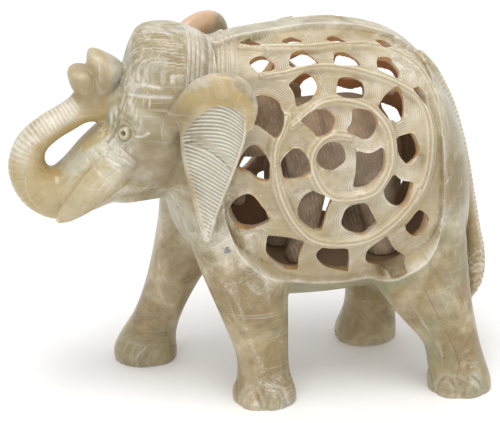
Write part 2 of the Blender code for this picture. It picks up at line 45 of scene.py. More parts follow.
def smoothRun(rows, steps):
    # Catmull-Rom stations between the given ones
    rows = np.array(rows, float)
    ends = np.vstack([2 * rows[0] - rows[1], rows, 2 * rows[-1] - rows[-2]])
    out = []
    for k in range(1, len(ends) - 2):
        a, b, c, d = ends[k - 1:k + 3]
        for t in np.arange(steps) / steps:
            out.append(0.5 * (2 * b + (c - a) * t + (2 * a - 5 * b + 4 * c - d) * t ** 2
                              + (3 * b - a - 3 * c + d) * t ** 3))
    out.append(ends[-2])
    return np.array(out)


def closedRun(rows, steps):
    # a closed curve that stays pointed where the outline turns sharply
    rows = np.array(rows, float)
    before, after = np.roll(rows, 1, axis=0), np.roll(rows, -1, axis=0)
    scale = np.array([1.0, 0.55])            # a degree of turn is about 0.55 mm
    come, go = (rows - before) * scale, (after - rows) * scale
    bend = np.degrees(np.arccos(np.clip(np.sum(come * go, axis=1) / np.linalg.norm(come, axis=1)
                                        / np.linalg.norm(go, axis=1), -1, 1)))
    slope = (after - before) / 2 * (1 - ease(bend, 58, 80))[:, None]
    out = []
    for k in range(len(rows)):
        b, c, m, n = rows[k], after[k], slope[k], slope[(k + 1) % len(rows)]
        for t in np.arange(steps) / steps:
            out.append((2 * t ** 3 - 3 * t ** 2 + 1) * b + (t ** 3 - 2 * t ** 2 + t) * m
                       + (3 * t ** 2 - 2 * t ** 3) * c + (t ** 3 - t ** 2) * n)
    return np.array(out)


def ease(value, low, high):
    t = np.clip((value - low) / (high - low), 0, 1)
    return t * t * (3 - 2 * t)


def power(value, exponent):
    return math.copysign(abs(value) ** exponent, value)


def turnsRound(sides):
    return 2 * math.pi * np.arange(sides) / sides


# torso stations: along, middle height, half height, half width (mm)
torsoSettings = {
    "stations": [(-23, 66, 8, 7), (-20, 65.5, 19, 12), (-15, 65.5, 27.5, 15.2), (-7, 63.5, 34, 19.4),
                 (4, 62.5, 36.3, 23), (16, 62.5, 37, 24.5), (28, 62, 36, 25), (38, 60, 34, 24.2),
                 (46, 57, 29.5, 22), (52, 53.5, 23, 18), (56, 50.5, 15, 12)],
    "squareness": 2.25,
    "sides": 48,
    "wall": 3.2,
    "floor": 10.5,
    "hollowEnds": (-15.5, 50.5),
    "hollowSquareness": 4.0,
    "hollowSteps": 34,
    "hollowReach": 0.985,
    "floorFrom": 0.93,
    "floorEase": 14.0,
    "calfAlong": 17.0,
}

torsoRun = smoothRun(torsoSettings["stations"], 12)


def torsoSection(along):
    return [np.interp(along, torsoRun[:, 0], torsoRun[:, k]) for k in (1, 2, 3)]


def torsoPoint(along, turnDegrees, side=-1):
    middle, halfHeight, halfWidth = torsoSection(along)
    turn, share = math.radians(turnDegrees), 2 / torsoSettings["squareness"]
    return np.array([along, side * halfWidth * power(math.cos(turn), share),
                     middle + halfHeight * power(math.sin(turn), share)])


def torsoNormal(along, turnDegrees, side):
    run = torsoPoint(along + 0.5, turnDegrees, side) - torsoPoint(along - 0.5, turnDegrees, side)
    rise = torsoPoint(along, turnDegrees + 1, side) - torsoPoint(along, turnDegrees - 1, side)
    normal = np.cross(run, rise) * -side
    return normal / np.linalg.norm(normal)


def torsoRing(along, middle, halfHeight, halfWidth, sides):
    share = 2 / torsoSettings["squareness"]
    return np.array([[along, halfWidth * power(math.cos(t), share),
                      middle + halfHeight * power(math.sin(t), share)] for t in turnsRound(sides)])


def deselectAll():
    bpy.ops.object.select_all(action="DESELECT")


def selectOnly(piece):
    deselectAll()
    piece.select_set(True)
    bpy.context.view_layer.objects.active = piece


def extrudeThrough(name, rings):
    # a filled circle, extruded once for each ring, each new loop put in its place
    deselectAll()
    bpy.ops.mesh.primitive_circle_add(vertices=len(rings[0]), radius=0.01, fill_type="NGON")
    piece = bpy.context.active_object
    piece.name = name
    bpy.ops.object.mode_set(mode="EDIT")
    bm = bmesh.from_edit_mesh(piece.data)
    loop = list(bm.verts)
    for k, ring in enumerate(rings):
        if k:
            bpy.ops.mesh.extrude_region_move()
            loop = [next(e.other_vert(v) for e in v.link_edges if e.other_vert(v).select) for v in loop]
        for vert, place in zip(loop, ring):
            vert.co = Vector(place) * mm
    bmesh.update_edit_mesh(piece.data)
    bpy.ops.mesh.select_all(action="SELECT")
    bpy.ops.mesh.normals_make_consistent(inside=False)
    bpy.ops.object.mode_set(mode="OBJECT")
    return piece


def joined(name, parts):
    deselectAll()
    for part in parts:
        part.select_set(True)
    bpy.context.view_layer.objects.active = parts[0]
    if len(parts) > 1:
        bpy.ops.object.join()
    parts[0].name = name
    parts[0].data.name = name
    return parts[0]


def applyModifier(piece, kind, **settings):
    selectOnly(piece)
    step = piece.modifiers.new("step", kind)
    for key, value in settings.items():
        setattr(step, key, value)
    bpy.ops.object.modifier_apply(modifier=step.name)
    return piece


def blended(piece, grid, smooth):
    applyModifier(piece, "REMESH", mode="VOXEL", voxel_size=grid * mm)
    return applyModifier(piece, "SMOOTH", factor=0.5, iterations=smooth)


def cutAway(piece, cutter):
    applyModifier(piece, "BOOLEAN", operation="DIFFERENCE", solver="MANIFOLD", object=cutter)
    bpy.data.objects.remove(cutter, do_unlink=True)
    return piece


def thinned(piece, triangles):
    have = sum(len(p.vertices) - 2 for p in piece.data.polygons)
    return applyModifier(piece, "DECIMATE", ratio=min(1.0, triangles / have), use_collapse_triangulate=True)


def flatSoles(piece, level):
    selectOnly(piece)
    bpy.ops.object.mode_set(mode="EDIT")
    bpy.ops.mesh.select_all(action="SELECT")
    bpy.ops.mesh.bisect(plane_co=(0, 0, level * mm), plane_no=(0, 0, 1), use_fill=True, clear_inner=True)
    bpy.ops.mesh.quads_convert_to_tris()
    bpy.ops.object.mode_set(mode="OBJECT")
    return piece


def pointsOf(piece):
    count = len(piece.data.vertices)
    places, normals = np.empty(count * 3), np.empty(count * 3)
    piece.data.vertices.foreach_get("co", places)
    piece.data.vertex_normals.foreach_get("vector", normals)
    return places.reshape(-1, 3) / mm, normals.reshape(-1, 3)


def placePoints(piece, points):
    piece.data.vertices.foreach_set("co", (points * mm).ravel())
    piece.data.update()


def hollowRings():
    s = torsoSettings
    middle, halfHeight, halfWidth = torsoSection(s["calfAlong"])
    level = middle - halfHeight + s["floor"]
    start, end = s["hollowEnds"]
    centre, reach = (start + end) / 2, (end - start) / 2
    rings = []
    for t in np.linspace(-s["hollowReach"], s["hollowReach"], s["hollowSteps"]):
        along = centre + reach * math.sin(t * math.pi / 2)
        share = (1 - abs((along - centre) / reach) ** s["hollowSquareness"]) ** (1 / s["hollowSquareness"])
        middle, halfHeight, halfWidth = torsoSection(along)
        tall = max(0.5, (halfHeight - s["wall"]) * share)
        ring = torsoRing(along, middle, tall, max(0.5, (halfWidth - s["wall"]) * share), s["sides"])
        lowest = min(level + s["floorEase"] * max(0, s["floorFrom"] - share), middle - tall / 2)
        ring[:, 2] = np.maximum(ring[:, 2], lowest)
        rings.append(ring)
    return rings


# head: height, front, back, half width; tubes: along, across, height, radius
headSettings = {
    "stations": [(101.3, -27.6, -22.5, 3.5), (99.5, -29.6, -15, 8.5), (95, -31.6, -9, 11.5),
                 (89, -33.4, -7, 13.2), (82, -35.8, -7, 14), (76, -38.5, -8, 13.6), (70, -41.3, -10, 13),
                 (65, -42.5, -12, 11.5), (60.5, -41, -14, 9), (57.5, -37, -18, 6)],
    "trunk": [(-33, 0, 68, 10.5), (-38.5, 0, 64.5, 9.6), (-44.5, 0, 60.6, 8.0), (-50.5, 0, 58.4, 7.0),
              (-55.8, 0, 61.2, 5.9), (-58.3, 0, 66.8, 4.9), (-56.8, 0, 72.6, 4.2), (-52.0, 0, 76.6, 3.9),
              (-46.8, 0, 79.4, 3.9), (-42.8, 0, 82.2, 4.0), (-40.6, 0, 86.2, 4.6)],
    "rearLobe": [(81, -43.5, -37.5, 3.4), (86, -43.0, -35.4, 4.2), (90, -42.5, -33.4, 4.9),
                 (92.5, -42.2, -33.6, 5.0), (94.6, -42.0, -36.8, 4.7), (95.7, -41.6, -39.2, 3.6)],
    "foreLobe": [(84, -44, -40, 3.2), (86.3, -46.2, -39.5, 4.3), (89.5, -47.1, -40, 4.9),
                 (91.0, -46.8, -41, 4.8), (91.7, -46.0, -42, 3.8)],
    "tusk": [(-33.5, 8.2, 70.5, 4.6), (-39.5, 9.0, 65.2, 4.5), (-45.4, 9.6, 60.2, 3.7),
             (-50.2, 10.0, 56.6, 2.3), (-52.0, 10.2, 55.3, 1.1)],
    "tipBridge": [(-44.0, 0, 80.6, 3.6), (-40.0, 0, 81.4, 4.2), (-36.0, 0, 82.5, 4.6)],
    "lengthwise": 0.95,
    "crosswise": 0.8,
    "sides": 36,
    "jaw": [(-23, 0, 60.5, 5.5), (-29, 0, 59.6, 5.2), (-34.5, 0, 58.2, 4.2), (-38, 0, 57.4, 2.6)],
}


def headRings(rows):
    lengthwise, crosswise, sides = (headSettings[key] for key in ("lengthwise", "crosswise", "sides"))
    rings = []
    for height, front, back, halfWidth in smoothRun(rows, 5):
        middle, half = (front + back) / 2, (back - front) / 2
        rings.append([[middle + half * power(math.cos(t), lengthwise),
                       halfWidth * power(math.sin(t), crosswise), height] for t in turnsRound(sides)])
    return rings


def tubeRings(rows, flatten=1.0, roundEnd=True):
    run = smoothRun(rows, 5)
    path, radii = run[:, :3], run[:, 3].copy()
    ahead = np.gradient(path, axis=0)
    ahead /= np.linalg.norm(ahead, axis=1)[:, None]
    if roundEnd:
        for reach, share in ((0.55, 0.85), (0.85, 0.5)):
            path = np.vstack([path, path[len(run) - 1] + ahead[-1] * radii[len(run) - 1] * reach])
            radii = np.append(radii, radii[len(run) - 1] * share)
            ahead = np.vstack([ahead, ahead[-1]])
    rings = []
    for point, forward, radius in zip(path, ahead, radii):
        over = np.cross(np.array([0.0, 1.0, 0.0]), forward)
        over /= np.linalg.norm(over)
        wide = np.cross(forward, over)
        rings.append([point + radius * (math.cos(t) * over + flatten * math.sin(t) * wide)
                      for t in turnsRound(24)])
    return rings


# legs: height, middle along, middle across, half length, half width
legSettings = {
    "frontNear": [(0, 0.7, -13.9, 8.0, 7.6), (3, 0.5, -13.9, 8.3, 7.8), (8, 0.3, -13.8, 6.9, 6.6),
                  (14, -0.2, -13.6, 6.9, 6.5), (22, -1.6, -13.4, 8.3, 7.2), (33, -3.8, -13.0, 10.4, 8.0),
                  (43, -5.8, -12.2, 12.0, 8.6), (53, -7.5, -10.5, 12.5, 8.8), (62, -8.0, -9.0, 9.0, 8.0)],
    "frontFar": [(0, -24.2, 18.8, 8.4, 7.6), (3.5, -24.3, 18.8, 8.5, 7.8), (8, -23.4, 18.4, 7.4, 6.7),
                 (14, -21.0, 17.4, 6.4, 6.3), (22, -18.0, 16.2, 6.8, 6.8), (31, -14.6, 14.8, 8.4, 7.8),
                 (42, -11.0, 13.2, 10.6, 8.6), (53, -9.0, 10.5, 12.0, 8.8), (62, -8.0, 9.0, 9.0, 8.0)],
    "hindNear": [(0, 52.3, -19.3, 8.3, 7.8), (3.5, 52.0, -19.3, 8.3, 7.9), (9, 51.0, -18.8, 7.6, 7.0),
                 (14, 49.7, -18.2, 7.6, 7.0), (20, 46.8, -17.2, 9.4, 8.0), (27, 43.6, -16.0, 11.6, 9.0),
                 (36, 41.0, -14.6, 13.6, 9.8), (48, 40.0, -12.6, 13.6, 10.0), (58, 39.0, -10.0, 10.0, 8.0)],
    "hindFar": [(0, 36.7, 17.2, 8.4, 7.7), (3.5, 36.7, 17.2, 8.4, 7.8), (9, 37.6, 16.8, 7.2, 6.9),
                (14, 38.2, 16.4, 7.3, 6.9), (22, 39.8, 15.6, 9.2, 7.9), (30, 41.0, 14.8, 11.2, 8.9),
                (42, 41.0, 13.4, 13.0, 9.8), (54, 40.0, 11.2, 12.0, 9.5), (60, 39.0, 9.0, 9.0, 8.0)],
    "roundness": 0.92,
    "sides": 28,
    "soleCut": 0.6,
    "nailHeight": 5.4,
    "nailHalfWidth": 2.9,
    # toenails, in degrees round each foot from straight out of the flank
    "nailsAt": {"frontNear": (-98, -43, 11), "hindNear": (-96, -43, 11), "frontFar": (-30, 24),
                "hindFar": (-30, 24)},
}


def legRings(rows):
    roundness, sides = legSettings["roundness"], legSettings["sides"]
    rings = []
    for height, along, across, halfLength, halfWidth in smoothRun(rows, 4):
        rings.append([[along + halfLength * power(math.cos(t), roundness),
                       across + halfWidth * power(math.sin(t), roundness), height]
                      for t in turnsRound(sides)])
    return rings


# ears: height, front along, front across, rear along, rear across
earSettings = {
    "plate": [(92.0, -15.0, 18.5, -11.5, 20.6), (90.0, -18.8, 17.0, -9.2, 22.2),
              (85.5, -21.3, 16.2, -6.9, 24.4), (79, -22.2, 16.0, -7.2, 25.0), (71, -21.6, 16.5, -9.6, 24.6),
              (63, -19.8, 17.5, -12.4, 23.6), (56, -18.2, 19.0, -14.6, 22.6),
              (50.5, -16.6, 20.4, -15.4, 21.8)],
    "thick": 3.0,
    "fold": [(-24.9, 12.9, 73.0, 0.9), (-24.6, 13.1, 75.6, 2.2), (-23.4, 13.6, 79.2, 3.0),
             (-20.6, 15.5, 83.7, 3.6), (-16.8, 17.8, 88.8, 4.1), (-12.7, 20.2, 90.6, 4.2),
             (-8.7, 22.6, 90.2, 3.6), (-6.3, 24.0, 86.4, 2.4), (-6.3, 24.2, 81.5, 1.3)],
    "foldFlatten": 0.62,
    "farShift": (4.2, 0, 1.8),
    "faceTop": [(-24.5, 73.5), (-21.4, 78.7), (-18.9, 82.9), (-16.4, 85.5), (-13.6, 87.1), (-10.6, 86.9),
                (-8.5, 85.7), (-7.0, 84.1)],
    "midRib": [(-22.5, 75.0), (-20.1, 76.4), (-17.4, 75.4), (-14.5, 73.7), (-12.3, 71.6), (-10.6, 69.5)],
    "ribDepth": 0.32,
    "upperPitch": 0.98,
    "lowerPitch": 1.08,
}


def earRings(rows, side, thick, shift=(0, 0, 0)):
    rings = []
    for height, front, frontOut, rear, rearOut in smoothRun(rows, 5):
        fore, aft = np.array([front, side * frontOut, height]), np.array([rear, side * rearOut, height])
        middle, half = (fore + aft) / 2, (aft - fore) / 2
        ahead = half / np.linalg.norm(half)
        off = np.array([ahead[1], -ahead[0], 0.0])
        rings.append([np.array(shift) + middle + half * power(math.cos(t), 0.8)
                      + off * thick / 2 * power(math.sin(t), 0.7) for t in turnsRound(26)])
    return rings


tailSettings = {
    "run": [(44, 0, 87, 2.4), (48.5, -0.5, 81.5, 2.3), (52.6, -1.5, 73, 2.2), (55.6, -3, 62, 2.1),
            (57.6, -4.6, 50, 2.0), (59.0, -6, 40, 2.1), (59.6, -7, 32.5, 2.7), (59.0, -8, 26, 2.5),
            (58.0, -8.6, 21.5, 1.0)],
    "toothPitch": 1.25,
    "toothDepth": 0.3,
}

# openings of the flank as outlines: along (mm) and turn up round the torso (deg),
# then the side on which the leaf lies, 0 towards the tail and 90 up
openings = {
    "a1": ([(-4.0, 80), (-0.8, 83), (1.6, 78), (1.9, 72), (-1.1, 72), (-3.7, 75)], 0),
    "a2": ([(6.6, 76), (9.3, 78), (12.0, 76), (11.4, 70), (8.9, 70), (6.4, 71)], 0),
    "a3": ([(18.0, 74), (20.6, 76), (23.5, 74), (24.0, 69), (20.7, 68), (18.1, 69)], 0),
    "a4": ([(31.2, 75), (33.5, 78), (36.3, 78), (36.7, 74), (33.5, 69), (31.3, 70)], 0),
    "b1": ([(-3.2, 60), (-1.2, 64), (1.5, 64), (3.4, 59), (2.9, 55), (0.3, 53), (-1.4, 53)], -10),
    "b2": ([(7.0, 60), (8.2, 64), (11.6, 64), (14.1, 58), (14.1, 54), (11.8, 54), (6.6, 54)], -10),
    "b3": ([(18.3, 58), (19.1, 62), (22.6, 62), (25.2, 58), (25.7, 54), (23.9, 53), (17.9, 53)], -10),
    "b4": ([(29.7, 55), (30.5, 61), (34.5, 63), (36.7, 57), (35.8, 51), (33.6, 49), (30.1, 52)], -20),
    "c1": ([(5.5, 45), (9.2, 50), (11.5, 50), (13.1, 45), (13.0, 41), (11.0, 36), (6.9, 33), (6.7, 40)],
           20),
    "c2": ([(18.6, 46), (21.7, 47), (25.0, 45), (25.5, 40), (24.4, 36), (19.7, 36), (17.5, 38)], 0),
    "c3": ([(28.0, 32), (30.6, 39), (34.2, 45), (36.2, 41), (36.1, 33), (35.2, 28), (32.8, 26), (30.0, 28)],
           -35),
    "c4": ([(38.2, 46), (40.9, 51), (43.0, 48), (43.6, 40), (43.7, 35), (42.1, 39), (39.5, 43)], -60),
    "d1": ([(32.6, 19), (34.7, 21), (37.5, 23), (39.0, 19), (39.4, 14), (37.9, 10), (35.8, 8), (33.8, 11),
            (32.7, 15)], -90),
    "d2": ([(31.8, 4), (34.0, 2), (37.3, 2), (36.9, -1), (35.1, -7), (32.5, -8), (29.9, -5), (29.4, -1),
            (30.5, 2)], -135),
    "d3": ([(39.1, -8), (41.8, -11), (42.3, -15), (40.9, -22), (38.7, -24), (36.2, -20), (36.0, -16),
            (37.6, -11)], -120),
    "e1": ([(-3.5, 39), (0.2, 40), (3.3, 36), (3.8, 28), (2.8, 22), (1.3, 19), (-2.5, 24), (-5.4, 26),
            (-5.1, 31)], 80),
    "e2": ([(-7.6, 10), (-5.5, 15), (-3.1, 16), (-0.7, 12), (-0.2, 7), (-0.4, 2), (-3.3, 2), (-5.7, 4),
            (-8.6, 5)], 90),
    "e3": ([(-10.4, -13), (-8.5, -6), (-5.3, -3), (-2.8, -6), (0.1, -12), (-2.7, -16), (-5.9, -19),
            (-8.7, -19)], 80),
    "f1": ([(2.3, 9), (3.8, 13), (6.3, 15), (8.7, 13), (9.9, 8), (9.8, 5), (6.6, 3), (3.1, 3)], 45),
    "f2": ([(6.9, -6), (8.7, -2), (12.0, -1), (15.7, -4), (14.7, -7), (13.2, -17), (11.1, -17), (8.0, -13),
            (6.9, -10)], 160),
    "f3": ([(18.4, -13), (19.8, -8), (24.5, -6), (26.4, -11), (27.8, -15), (25.4, -20), (23.3, -21),
            (20.2, -19), (18.5, -16)], 180),
    "g1": ([(-0.8, -30), (-0.7, -21), (1.6, -20), (5.3, -20), (9.0, -22), (7.9, -30), (8.2, -40),
            (4.2, -40), (0.5, -35)], 170),
    "g2": ([(12.5, -33), (13.7, -28), (17.1, -27), (20.6, -28), (21.6, -37), (21.9, -46), (15.9, -42)],
           180),
    "g3": ([(25.8, -35), (26.8, -30), (31.1, -23), (33.1, -30), (36.2, -35), (35.8, -41), (31.7, -46),
            (26.8, -42)], 180),
    "m1": ([(7.5, 27), (11.0, 31), (14.4, 31), (16.7, 28), (16.8, 24), (14.8, 20), (11.8, 19), (11.0, 21)],
           20),
    "m2": ([(21.1, 31), (24.1, 31), (27.0, 29), (27.9, 24), (26.7, 19), (24.5, 17), (21.5, 19), (19.0, 21),
            (20.8, 25)], -90),
    "m3": ([(11.4, 11), (12.5, 15), (15.5, 17), (18.4, 15), (19.4, 10), (18.3, 7), (15.4, 5), (12.4, 7)],
           -30),
    "m4": ([(21.8, 13), (23.9, 12), (26.1, 12), (29.2, 15), (29.6, 10), (28.7, 4), (25.7, 0), (22.7, -1),
            (20.9, -1), (21.7, 5)], -150),
}

# the other flank repeats them nearer the tail, as the light seen through both shows
farFlank = {"shift": (7.0, 3.0), "missing": ("c4",), "panelShift": 5.0,
            "moved": {"a1": (7, 0), "a2": (7, 0), "a3": (7, 0), "a4": (7, 0), "c3": (10, -2), "d1": (9, -5),
                      "d2": (6.5, -3), "d3": (6, -3)}}


def flankOpenings(side):
    # the openings of one flank, with the side on which the leaf lies
    for name, (outline, lean) in openings.items():
        if side < 0:
            yield np.array(outline, float), lean
        elif name not in farFlank["missing"]:
            yield np.array(outline, float) + farFlank["moved"].get(name, farFlank["shift"]), lean


# how far an opening's cutter reaches: out of the skin, in walls inwards, and past the legs
plugSettings = {"outside": 2.0, "inside": 2.6, "taper": 0.10, "flare": 0.5, "pastLegs": 7.0, "atSkin": 0.4,
                "level": 0.8, "rise": 0.25}


def plugRings(outline, side):
    # an opening's cutter from the outside in, square to the skin and narrower inside
    s = plugSettings
    centreAlong, centreTurn = outline.mean(axis=0)
    base, centre = torsoNormal(centreAlong, centreTurn, side), torsoPoint(centreAlong, centreTurn, side)
    ends = [(s["outside"], 0.0, 0.0), (-s["inside"] * torsoSettings["wall"], s["taper"], 0.0)]
    if centreTurn < 0:        # the legs swell over the lower openings, so the cut goes on level past the skin
        ends = [(s["pastLegs"], 0.0, s["level"]), (s["atSkin"], 0.0, 0.0), ends[1]]
    sideways = np.array([0.0, side, s["rise"]])
    rings = []
    for reach, taper, level in ends:
        ring = []
        for along, turn in outline:
            point = torsoPoint(along, turn, side)
            square = base + s["flare"] * torsoNormal(along, turn, side)
            way = (1 - level) * square + level * sideways
            ring.append(point + (centre - point) * taper + way / np.linalg.norm(way) * reach)
        rings.append(ring)
    return rings


def gapTo(points, line, reach, closed=False):
    # points near a line: their indexes, the gap, the way from the line, and how far along it
    line = np.array(line, float)
    if closed:
        line = np.vstack([line, line[0]])
    low, high = line.min(axis=0) - reach, line.max(axis=0) + reach
    near = np.where(np.all((points > low) & (points < high), axis=1))[0]
    here = points[near]
    best = np.full(len(near), 1e9)
    way, along, length = np.zeros((len(near), 3)), np.zeros(len(near)), 0.0
    for a, b in zip(line[:-1], line[1:]):
        run = b - a
        size = max(np.linalg.norm(run), 1e-9)
        t = np.clip(((here - a) @ run) / size ** 2, 0, 1)
        offset = here - (a + t[:, None] * run)
        gap = np.sum(offset * offset, axis=1)
        better = gap < best
        best[better], way[better], along[better] = gap[better], offset[better], (length + t * size)[better]
        length += size
    gap = np.sqrt(best)
    keep = gap < reach
    return near[keep], gap[keep], way[keep], along[keep]


def onLeft(points):
    return np.stack([points[:, 0], -np.abs(points[:, 1]), points[:, 2]], axis=1)


def atLeast(mark, value, near=slice(None)):
    mark[near] = np.maximum(mark[near], value)


def panelPlace(points):
    # how far each point lies under the torso's skin, how it faces, and the way out of the skin
    middle, halfHeight, halfWidth = torsoSection(points[:, 0])
    level, out = (points[:, 2] - middle) / halfHeight, np.abs(points[:, 1]) / halfWidth
    squareness = torsoSettings["squareness"]
    skin = np.maximum(out ** squareness + np.abs(level) ** squareness, 1e-6)
    way = np.zeros_like(points)
    way[:, 1] = np.sign(points[:, 1]) * out ** (squareness - 1) / halfWidth
    way[:, 2] = np.sign(level) * np.abs(level) ** (squareness - 1) / halfHeight
    way /= np.maximum(np.linalg.norm(way, axis=1), 1e-9)[:, None]
    arm = points[:, 1] * way[:, 1] + (points[:, 2] - middle) * way[:, 2]
    return (skin ** (-1 / squareness) - 1) * arm, skin, way


def leafShare(edge, line, lean, side):
    # for each point of an outline, how squarely the leaf lies outside it
    centre = edge.mean(axis=0)
    up = torsoPoint(centre[0], centre[1] + 1, side) - torsoPoint(centre[0], centre[1] - 1, side)
    up /= np.linalg.norm(up)
    flat = np.stack([line[:, 0], line @ up], axis=1)
    run = np.roll(flat, -1, axis=0) - np.roll(flat, 1, axis=0)
    outward = np.stack([run[:, 1], -run[:, 0]], axis=1)
    outward *= np.sign(np.sum(outward * (flat - flat.mean(axis=0)), axis=1))[:, None]
    share = ease(np.cos(np.arctan2(outward[:, 1], outward[:, 0]) - math.radians(lean)), 0.0, 0.7)
    return (np.roll(share, 1) + 2 * share + np.roll(share, -1)) / 4


# carving of the flank round those openings
panelSettings = {
    "rim": [(-11, 4), (-11.5, -10), (-9.8, -22), (-7.5, -30), (-3.1, -37), (2.3, -42.5), (8.7, -46.5),
            (15.4, -49), (22.5, -49.8), (29.8, -47.5), (35.4, -41), (40.7, -33), (43.9, -22), (45.5, -10)],
    "ends": (-11, 45.5),
    "step": 1.25,
    "stems": [[(-3.9, 74), (3.0, 71), (13.7, 67), (28.6, 70), (37.5, 69), (43.0, 65), (45.9, 50), (46.5, 31)],
              [(0.1, 51), (5.6, 52), (12.0, 54), (19.2, 53), (26.7, 50), (35.2, 46), (40.4, 42), (42.5, 30),
               (42.0, 14), (40.5, 3), (37.4, -5)],
              [(5.7, 25), (9.2, 29), (13.6, 34), (19.6, 35), (25.5, 32), (29.5, 25), (31.0, 17), (30.9, 8),
               (28.3, 0), (24.9, -3), (19.7, -4), (15.4, -3), (12.0, 1), (10.3, 7), (10.6, 13), (13.0, 18),
               (16.4, 20), (20.2, 19)],
              [(0.9, 8), (1.4, 16), (2.8, 22), (4.3, 29)],
              [(1.3, 7), (1.6, 2), (3.7, -6), (6.8, -14), (11.2, -21), (17.8, -24), (25.5, -23), (31.4, -16),
               (36.1, -7), (38.7, 0)]],
    "stemHeight": 1.15,
    "stemHalfWidth": 1.35,
    "strandAt": 0.62,
    "strandGroove": 0.34,
    "leafDepth": 1.9,
    "leafWidth": 4.4,
    "edgeWidth": 0.5,
    "deepest": 2.35,
    "hatchPitch": 0.46,
}


def carvePanel(points, normals, marks):
    s = panelSettings
    depth, skin, way = panelPlace(points)
    toward = np.sum(way * normals, axis=1)
    plate = np.array(earSettings["plate"], float)[::-1]
    farSide = points[:, 1] > 0
    clear = points[:, 0] > np.interp(points[:, 2], plate[:, 0], plate[:, 3]) + np.where(farSide, 5.2, 1.0)
    lowest = np.where(clear, -5.0, -1.3)         # the legs swell over the lower corners, cut back there
    shell = (depth > lowest) & (depth < 3.0) & (toward > -0.3)
    facing = shell * ease(toward, 0.1, 0.5)
    along = points[:, 0] - np.where(farSide, farFlank["panelShift"], 0)
    rim = np.array([torsoPoint(a, t) for a, t in smoothRun(s["rim"], 6)])
    inside = (points[:, 2] - np.interp(along, rim[:, 0], rim[:, 2], left=90, right=90)) * 0.85
    inside = np.minimum(inside, np.minimum(along - s["ends"][0], s["ends"][1] - along))
    inside = np.minimum(inside, np.abs(points[:, 1]) - 3.0)
    marks["move"] += 0.25 * np.exp(-((inside + 0.6) / 0.5) ** 2) * facing
    atLeast(marks["pale"], 0.5 * np.exp(-((inside + 0.3) / 0.3) ** 2) * facing)
    marks["panel"] = ease(inside, -0.2, 0.4) * shell * ease(toward, -0.2, 0.1)
    below = ease(-inside, 0.2, 0.9) * (1 - ease(-inside, 4.6, 6.2)) * (points[:, 2] < 45)
    marks["belly"] = below * shell * ease(points[:, 0], 3, 9) * (1 - ease(points[:, 0], 36, 46))
    stem, strand = np.full(len(points), 99.0), np.zeros(len(points))
    leaf, hatch, phase = np.zeros(len(points)), np.zeros(len(points)), np.zeros(len(points))
    wallGap = np.full(len(points), 99.0)
    for side in (-1, 1):
        for run in s["stems"]:
            run = smoothRun(run, 4) + (np.array(farFlank["shift"]) if side > 0 else 0)
            near, _, offset, at = gapTo(points, [torsoPoint(a, t, side) for a, t in run], 4.0)
            gap = np.linalg.norm(offset - way[near] * np.sum(offset * way[near], axis=1)[:, None], axis=1)
            gap = gap / (0.7 + 0.3 * np.minimum(1, at / 8))
            closer = gap < stem[near]
            stem[near[closer]] = gap[closer]
            strand[near[closer]] = np.exp(-((gap[closer] - s["strandAt"]) / 0.24) ** 2)
        for outline, lean in flankOpenings(side):
            edge = closedRun(outline, 4)
            line = np.array([torsoPoint(a, t, side) for a, t in edge])
            share = leafShare(edge, line, lean, side)
            pitches = np.linalg.norm(np.roll(line, -1, axis=0) - line, axis=1)
            lengths = np.concatenate([[0], np.cumsum(pitches)])
            near, _, offset, at = gapTo(points, line, 5.4, closed=True)
            offset = offset - way[near] * np.sum(offset * way[near], axis=1)[:, None]
            gap = np.linalg.norm(offset, axis=1)
            toLeaf = np.interp(at, lengths, np.append(share, share[0]))
            rest = np.clip(1 - gap / (s["edgeWidth"] + s["leafWidth"] * toLeaf), 0, 1)
            scoop = (0.15 + (s["leafDepth"] - 0.15) * toLeaf) * rest ** 1.25
            wallGap[near] = np.minimum(wallGap[near], gap)
            stronger = scoop > leaf[near]
            leaf[near[stronger]] = scoop[stronger]
            here = ease(toLeaf, 0.45, 0.85) * ease(rest, 0.05, 0.3)
            owns = here > hatch[near]
            hatch[near[owns]], phase[near[owns]] = here[owns], gap[owns]
    width = s["stemHalfWidth"]
    onStem = 1 - ease(stem, width - 0.55, width + 0.75)
    level = s["step"] - s["stemHeight"] * onStem * (1 - 0.4 * (np.minimum(stem, width) / width) ** 2)
    level = level + s["strandGroove"] * strand + leaf * (1 - 0.85 * onStem)
    level = np.minimum(level, s["deepest"]) * ease(inside, -0.1, 0.35)
    cut = np.maximum(level - depth, 0) * ease(depth - lowest, 0, 0.9)
    marks["sink"] = np.where(shell & (inside > -0.1), cut, 0)
    marks["stem"] = onStem * facing
    marks["groove"] = strand * facing
    upperRear = 0.3 + 0.7 * ease(points[:, 0] + 0.5 * (points[:, 2] - 60), 0, 14)
    marks["hatch"] = hatch * facing * (1 - onStem) * upperRear
    marks["hatchRun"] = phase
    within = ease(points[:, 0], -17, -14) * (1 - ease(points[:, 0], 50.5, 51.5)) * (skin < 0.93)
    marks["hollow"] = within * ease(-toward, -0.1, 0.25) * ease(depth, 2.0, 3.2)
    # the walls of the openings, which the stone material paints amber as glow through the thin stone
    wall = (1 - ease(toward, 0.1, 0.45)) * (1 - ease(wallGap, 1.2, 2.2)) * (1 - marks["hollow"])
    marks["wall"] = wall * (depth > 0.6) * (depth < 6) * ease(inside, 1.0, 3.0)
    return way


